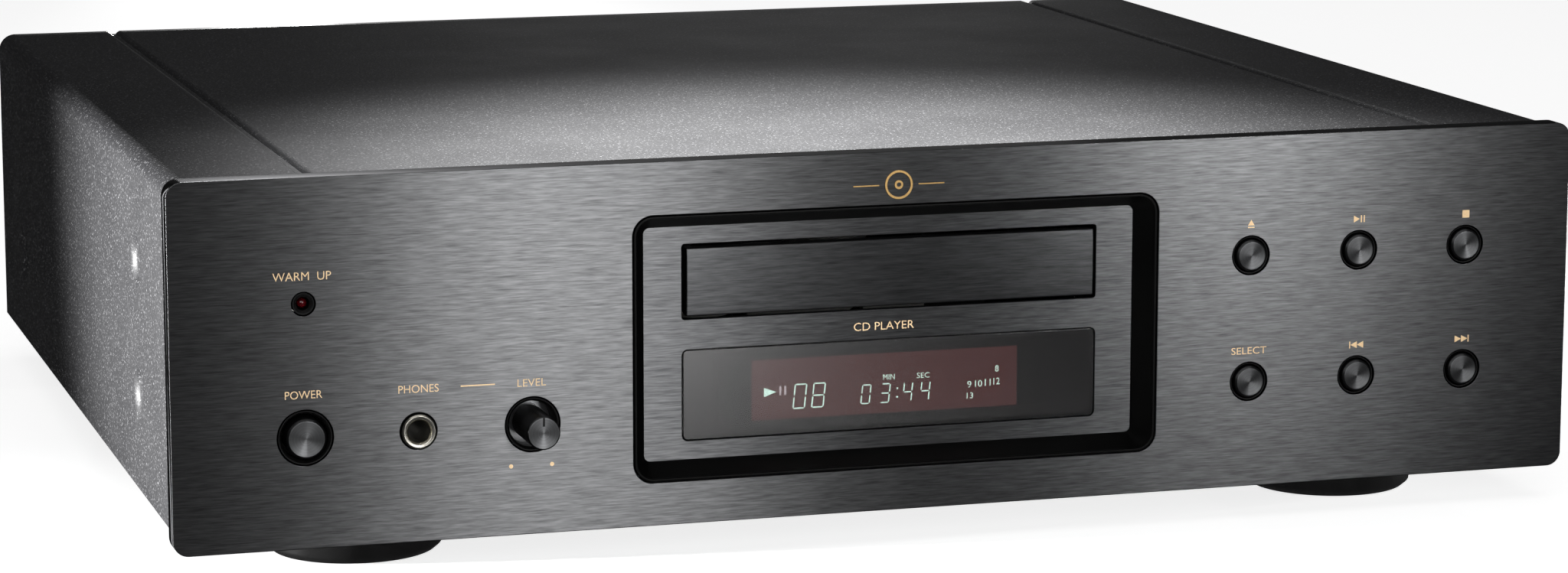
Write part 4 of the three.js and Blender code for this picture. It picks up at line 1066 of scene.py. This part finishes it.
INLET = extent("mains_inlet")
face = rear_y + 0.3
flange = slab("flange", [
    (rounded_rect(INLET[0], INLET[1], INLET[4], INLET[5], 3), None),
    (rounded_rect(INLET_X - 12.1, INLET_X + 12.1, JACK_Z - 8.3, JACK_Z + 8.3, 2.4, 6,
                  hole=True), 0.4)], face, face + 3, 0.5)
well = slab("well", [
    (rounded_rect(INLET_X - 13.6, INLET_X + 13.6, JACK_Z - 9.8, JACK_Z + 9.8, 1, 4), None),
    (rounded_rect(INLET_X - 12.1, INLET_X + 12.1, JACK_Z - 8.3, JACK_Z + 8.3, 2.4, 6,
                  hole=True), None)], rear_y - 18, face + 0.5, 0.2)
back = brick(INLET_X - 13.6, INLET_X + 13.6, rear_y - 18.5, rear_y - 16, JACK_Z - 9.8,
             JACK_Z + 9.8, 0.2)
piece("inlet_moulding", merged("inlet_moulding", [flange, well, back]), TRIM, "chassis",
      ["mains_inlet"], (0, 0, 0))
blades = [brick(INLET_X + dx - 1, INLET_X + dx + 1, rear_y - 24, rear_y - 6,
                JACK_Z + dz - 2, JACK_Z + dz + 2, 0.4)
          for dx, dz in ((-7, -1.5), (0, 2.5), (7, -1.5))]
piece("inlet_blades", merged("inlet_blades", blades), NICKEL, "chassis",
      (), (0, 0, 0))
ears = [moved(turned("ear_screw", [(0, face + 4.0), (1.6, face + 3.9), (2.6, face + 3.3, 0.3),
                                   (2.6, face + 3.0), (0, face + 3.0)], segments=40),
              INLET_X + dx, 0, JACK_Z) for dx in (-19.5, 19.5)]
piece("inlet_screws", merged("inlet_screws", ears), SCREW_STEEL, "chassis",
      (), (0, 0, 0))


def rear_label(text, middle, z, height=2.4):
    """Rear lettering, read from behind, so its X runs the other way."""
    width = 0.82 * height * len(text)
    mesh = lettering(text, -width / 2, width / 2, z, z + height, 0)
    mesh.transform(Matrix.Rotation(math.pi, 4, "Z"))
    mesh.transform(Matrix.Translation(Vector((middle, rear_y + 0.06, 0)) * MM))
    return mesh


rear_text = [rear_label("ANALOG OUT", 138, 47.5), rear_label("L", ANALOG_X[0], 42.2, 2.2),
             rear_label("R", ANALOG_X[1], 42.2, 2.2), rear_label("DIGITAL OUT", 75, 47.5),
             rear_label("COAXIAL", COAX_X + 1, 42.2, 1.9),
             rear_label("OPTICAL", OPTICAL_X - 2, 42.2, 1.9),
             rear_label("AC IN", INLET_X, 50.5)]
piece("rear_legends", merged("rear_legends", rear_text), REAR_PRINT, "chassis",
      (), (0, 0, 0))


BROAD = 12 * MM * MM


def solid_cut(base, cutters, name, bevel=0.35):
    """A mesh with others cut out of it, and its edges then rounded."""
    holder = bpy.data.objects.new(name, base)
    scene.collection.objects.link(holder)
    spare = []
    for mesh in cutters:
        tool = bpy.data.objects.new("tool", mesh)
        scene.collection.objects.link(tool)
        cut = holder.modifiers.new("cut", "BOOLEAN")
        cut.object = tool
        cut.solver = "EXACT"
        spare.append(tool)
    edges = holder.modifiers.new("edges", "BEVEL")
    edges.width = bevel * MM
    edges.segments = 3
    edges.limit_method = "ANGLE"
    edges.angle_limit = math.radians(35)
    bpy.context.view_layer.update()
    graph = bpy.context.evaluated_depsgraph_get()
    done = bpy.data.meshes.new_from_object(holder.evaluated_get(graph))
    for obj in [holder] + spare:
        bpy.data.objects.remove(obj)
    bm = bmesh.new()
    bm.from_mesh(done)
    bpy.data.meshes.remove(done)
    mesh = finish(name, bm)
    for face in mesh.polygons:  # the broad faces stay flat beside their rounded edges
        face.use_smooth = face.area < BROAD
    return mesh


def plain_box(x0, x1, y0, y1, z0, z1):
    bm = bmesh.new()
    bmesh.ops.create_cube(bm, size=1)
    bmesh.ops.scale(bm, vec=Vector((x1 - x0, y1 - y0, z1 - z0)) * MM, verts=bm.verts)
    bmesh.ops.translate(
        bm, vec=Vector((x0 + x1, y0 + y1, z0 + z1)) * MM / 2, verts=bm.verts)
    return finish("box", bm)


def plain_rod(x, y, radius, z0, z1, segments=128):
    return moved(turned("rod", [(0, z0), (radius, z0), (radius, z1), (0, z1)], "z", segments),
                 x, y, 0)


TRAY = extent("disc_tray")
DISC_Y = (extent("turntable")[2] + extent("turntable")[3]) / 2
tray_rear = 142
base = slab("tray", [(polyline([
    (TRAY[0], TRAY[2]), (TRAY[1], TRAY[2]), (TRAY[1], TRAY[3]), (40, TRAY[3]),
    (40, tray_rear), (-40, tray_rear), (-40, TRAY[3]), (TRAY[0], TRAY[3])]), None)],
    TRAY[4], TRAY[5], 0.4, axis="z")
cutters = [
    plain_box(TRAY[0] - 1, TRAY[1] + 1, tray_rear + 0.5, TRAY[3] + 1, 67, 75),
    plain_rod(0, DISC_Y, 60.5, 66, 75), plain_rod(0, DISC_Y, 41, 64.6, 75),
    plain_rod(0, DISC_Y, 18, 50, 75), plain_box(-18, 18, DISC_Y, tray_rear + 5, 50, 75),
    plain_box(-56.5, -44, TRAY[2] + 2, TRAY[3] + 2, 50, 64.8),
]
piece("tray_moulding", solid_cut(base, cutters, "tray_moulding"), TRIM, "tray",
      ["disc_tray"], (0, 0, 0))

# ------------------------------------------------- carried-over inner CAD pieces

FINISHES = {
    BOARD: ["front_board", "power_board", "main_board"],
    STEEL: ["sub_front", "chassis_base", "level_pot", "clamp_bridge", "guide_rod",
            "loading_motor", "spindle_motor", "pickup_sled"],
    TRIM: ["power_switch", "loader_frame", "traverse_frame", "turntable"],
    ACETAL: ["clamp_puck", "motor_pulley", "loading_gear", "feed_gear", "lift_cam"],
    RUBBER: ["drive_belt"],
    WINDING: ["power_transformer"],
    TUBE_GLASS: ["tube_left", "tube_right"],
}
for material, names in FINISHES.items():
    for name in names:
        obj = nodes[name]
        obj.data.materials.clear()
        obj.data.materials.append(material)
        soft = obj.modifiers.new("edges", "BEVEL")
        soft.width = 0.2 * MM
        soft.segments = 2
        soft.limit_method = "ANGLE"
        soft.angle_limit = math.radians(40)

# ------------------------------------------------------------- stage and camera

FLOOR_HALF = 9.0
bm = bmesh.new()
bmesh.ops.create_grid(bm, x_segments=1, y_segments=1, size=FLOOR_HALF)
floor_mesh = bpy.data.meshes.new("floor")
bm.to_mesh(floor_mesh)
bm.free()
floor = bpy.data.objects.new("floor", floor_mesh)
scene.collection.objects.link(floor)
floor.location = (0, 0, cad_bounds[0][2] - 0.0002)
paper = Shader("pale_floor", Roughness=0.9)
paper.bsdf.inputs["Base Color"].default_value = rgb(0.80, 0.80, 0.80)
paper.bsdf.inputs["Specular IOR Level"].default_value = 0.0
paper.bsdf.inputs["Emission Color"].default_value = rgb(1, 1, 1)
paper.bsdf.inputs["Emission Strength"].default_value = 0.80
paper.material.cycles.emission_sampling = "NONE"
floor_mesh.materials.append(paper.material)
floor.visible_glossy = False
floor.visible_shadow = False

CAMERA_PLACE = Vector((-0.4095, -1.40895, 0.3043))
CAMERA_YAW, CAMERA_PITCH, CAMERA_ROLL = (math.radians(a) for a in (16.97, 9.99, 0.05))
lens = bpy.data.cameras.new("camera")
lens.sensor_width = 36
lens.lens = 102.96
lens.clip_start, lens.clip_end = 0.05, 50
camera = bpy.data.objects.new("camera", lens)
scene.collection.objects.link(camera)
forward = Vector((math.sin(CAMERA_YAW) * math.cos(CAMERA_PITCH),
                  math.cos(CAMERA_YAW) * math.cos(CAMERA_PITCH), -math.sin(CAMERA_PITCH)))
right = Vector((math.cos(CAMERA_YAW), -math.sin(CAMERA_YAW), 0))
up = right.cross(forward)
turned_right = right * math.cos(CAMERA_ROLL) + up * math.sin(CAMERA_ROLL)
turned_up = up * math.cos(CAMERA_ROLL) - right * math.sin(CAMERA_ROLL)
pose = Matrix((turned_right, turned_up, -forward)).transposed().to_4x4()
pose.translation = CAMERA_PLACE
camera.matrix_world = pose
scene.camera = camera


def light(name, place, target, size, power, colour=(1, 1, 1)):
    """An area light of size (width, height) at a place, facing a target."""
    data = bpy.data.lights.new(name, "AREA")
    data.shape = "RECTANGLE"
    data.size, data.size_y = size
    data.energy = power
    data.color = colour
    made = bpy.data.objects.new(name, data)
    scene.collection.objects.link(made)
    made.location = place
    aim = Vector(target) - Vector(place)
    made.rotation_euler = aim.to_track_quat("-Z", "Y").to_euler()
    made.visible_camera = False
    return made


def snoot(name, place, target, angle, power, size=0.05):
    """A spot with a soft-edged cone of an angle in degrees."""
    data = bpy.data.lights.new(name, "SPOT")
    data.spot_size = math.radians(angle)
    data.spot_blend = 1.0
    data.shadow_soft_size = size
    data.energy = power
    made = bpy.data.objects.new(name, data)
    scene.collection.objects.link(made)
    made.location = place
    aim = Vector(target) - Vector(place)
    made.rotation_euler = aim.to_track_quat("-Z", "Y").to_euler()
    made.visible_camera = False
    return made


def around(azimuth, elevation, distance, centre):
    """A point seen from centre at an azimuth from -Y towards +X, in degrees."""
    a, e = math.radians(azimuth), math.radians(elevation)
    return Vector(centre) + distance * Vector(
        (math.sin(a) * math.cos(e), -math.cos(a) * math.cos(e), math.sin(e)))


PANEL_MIDDLE = at(0, 0, 53)
TOP_MIDDLE = at(0, 170, 105)
light("strip_left", at(400, -2000, 300), at(400, 0, 300), (0.24, 1.3), 4.2)
snoot("snoot_left", at(395, -2000, 300), at(-62, 0, 85), 13.5, 7.4, 0.13)
snoot("snoot_right", at(950, -2000, 450), at(150, 0, 150), 10.5, 27, 0.11)
light("top_glow", around(162.5, 16, 1.9, TOP_MIDDLE), TOP_MIDDLE, (0.5, 0.5), 0.3)
snoot("snoot_top", at(-15, 600, 1500), at(-15, -8, 105), 15, 650)
snoot("snoot_side", at(-1500, 190, 60), at(-213, 5, 105), 21.5, 450, 0.02)
light("overhead", (0, -0.2, 1.9), (0, 0, 0), (2.4, 2.4), 9)
light("front_fill", around(-25, 20, 2.3, PANEL_MIDDLE), PANEL_MIDDLE, (1.8, 0.9), 10)
snoot("snoot_rear", at(250, 2350, 20), at(0, 370, 45), 26, 200, 0.01)
snoot("snoot_far_side", at(2000, 190, 20), at(213, 190, 45), 26, 220, 0.01)

world = bpy.data.worlds.new("studio")
scene.world = world
world.use_nodes = True
links = world.node_tree.links
background = world.node_tree.nodes["Background"]
background.inputs["Strength"].default_value = 1.0
path = world.node_tree.nodes.new("ShaderNodeLightPath")
blend = world.node_tree.nodes.new("ShaderNodeMix")
blend.data_type = "RGBA"
blend.inputs[6].default_value = (0.024, 0.024, 0.0245, 1)
blend.inputs[7].default_value = (1, 1, 1, 1)
links.new(path.outputs["Is Camera Ray"], blend.inputs["Factor"])
links.new(blend.outputs[2], background.inputs["Color"])

scene.view_settings.view_transform = "Standard"
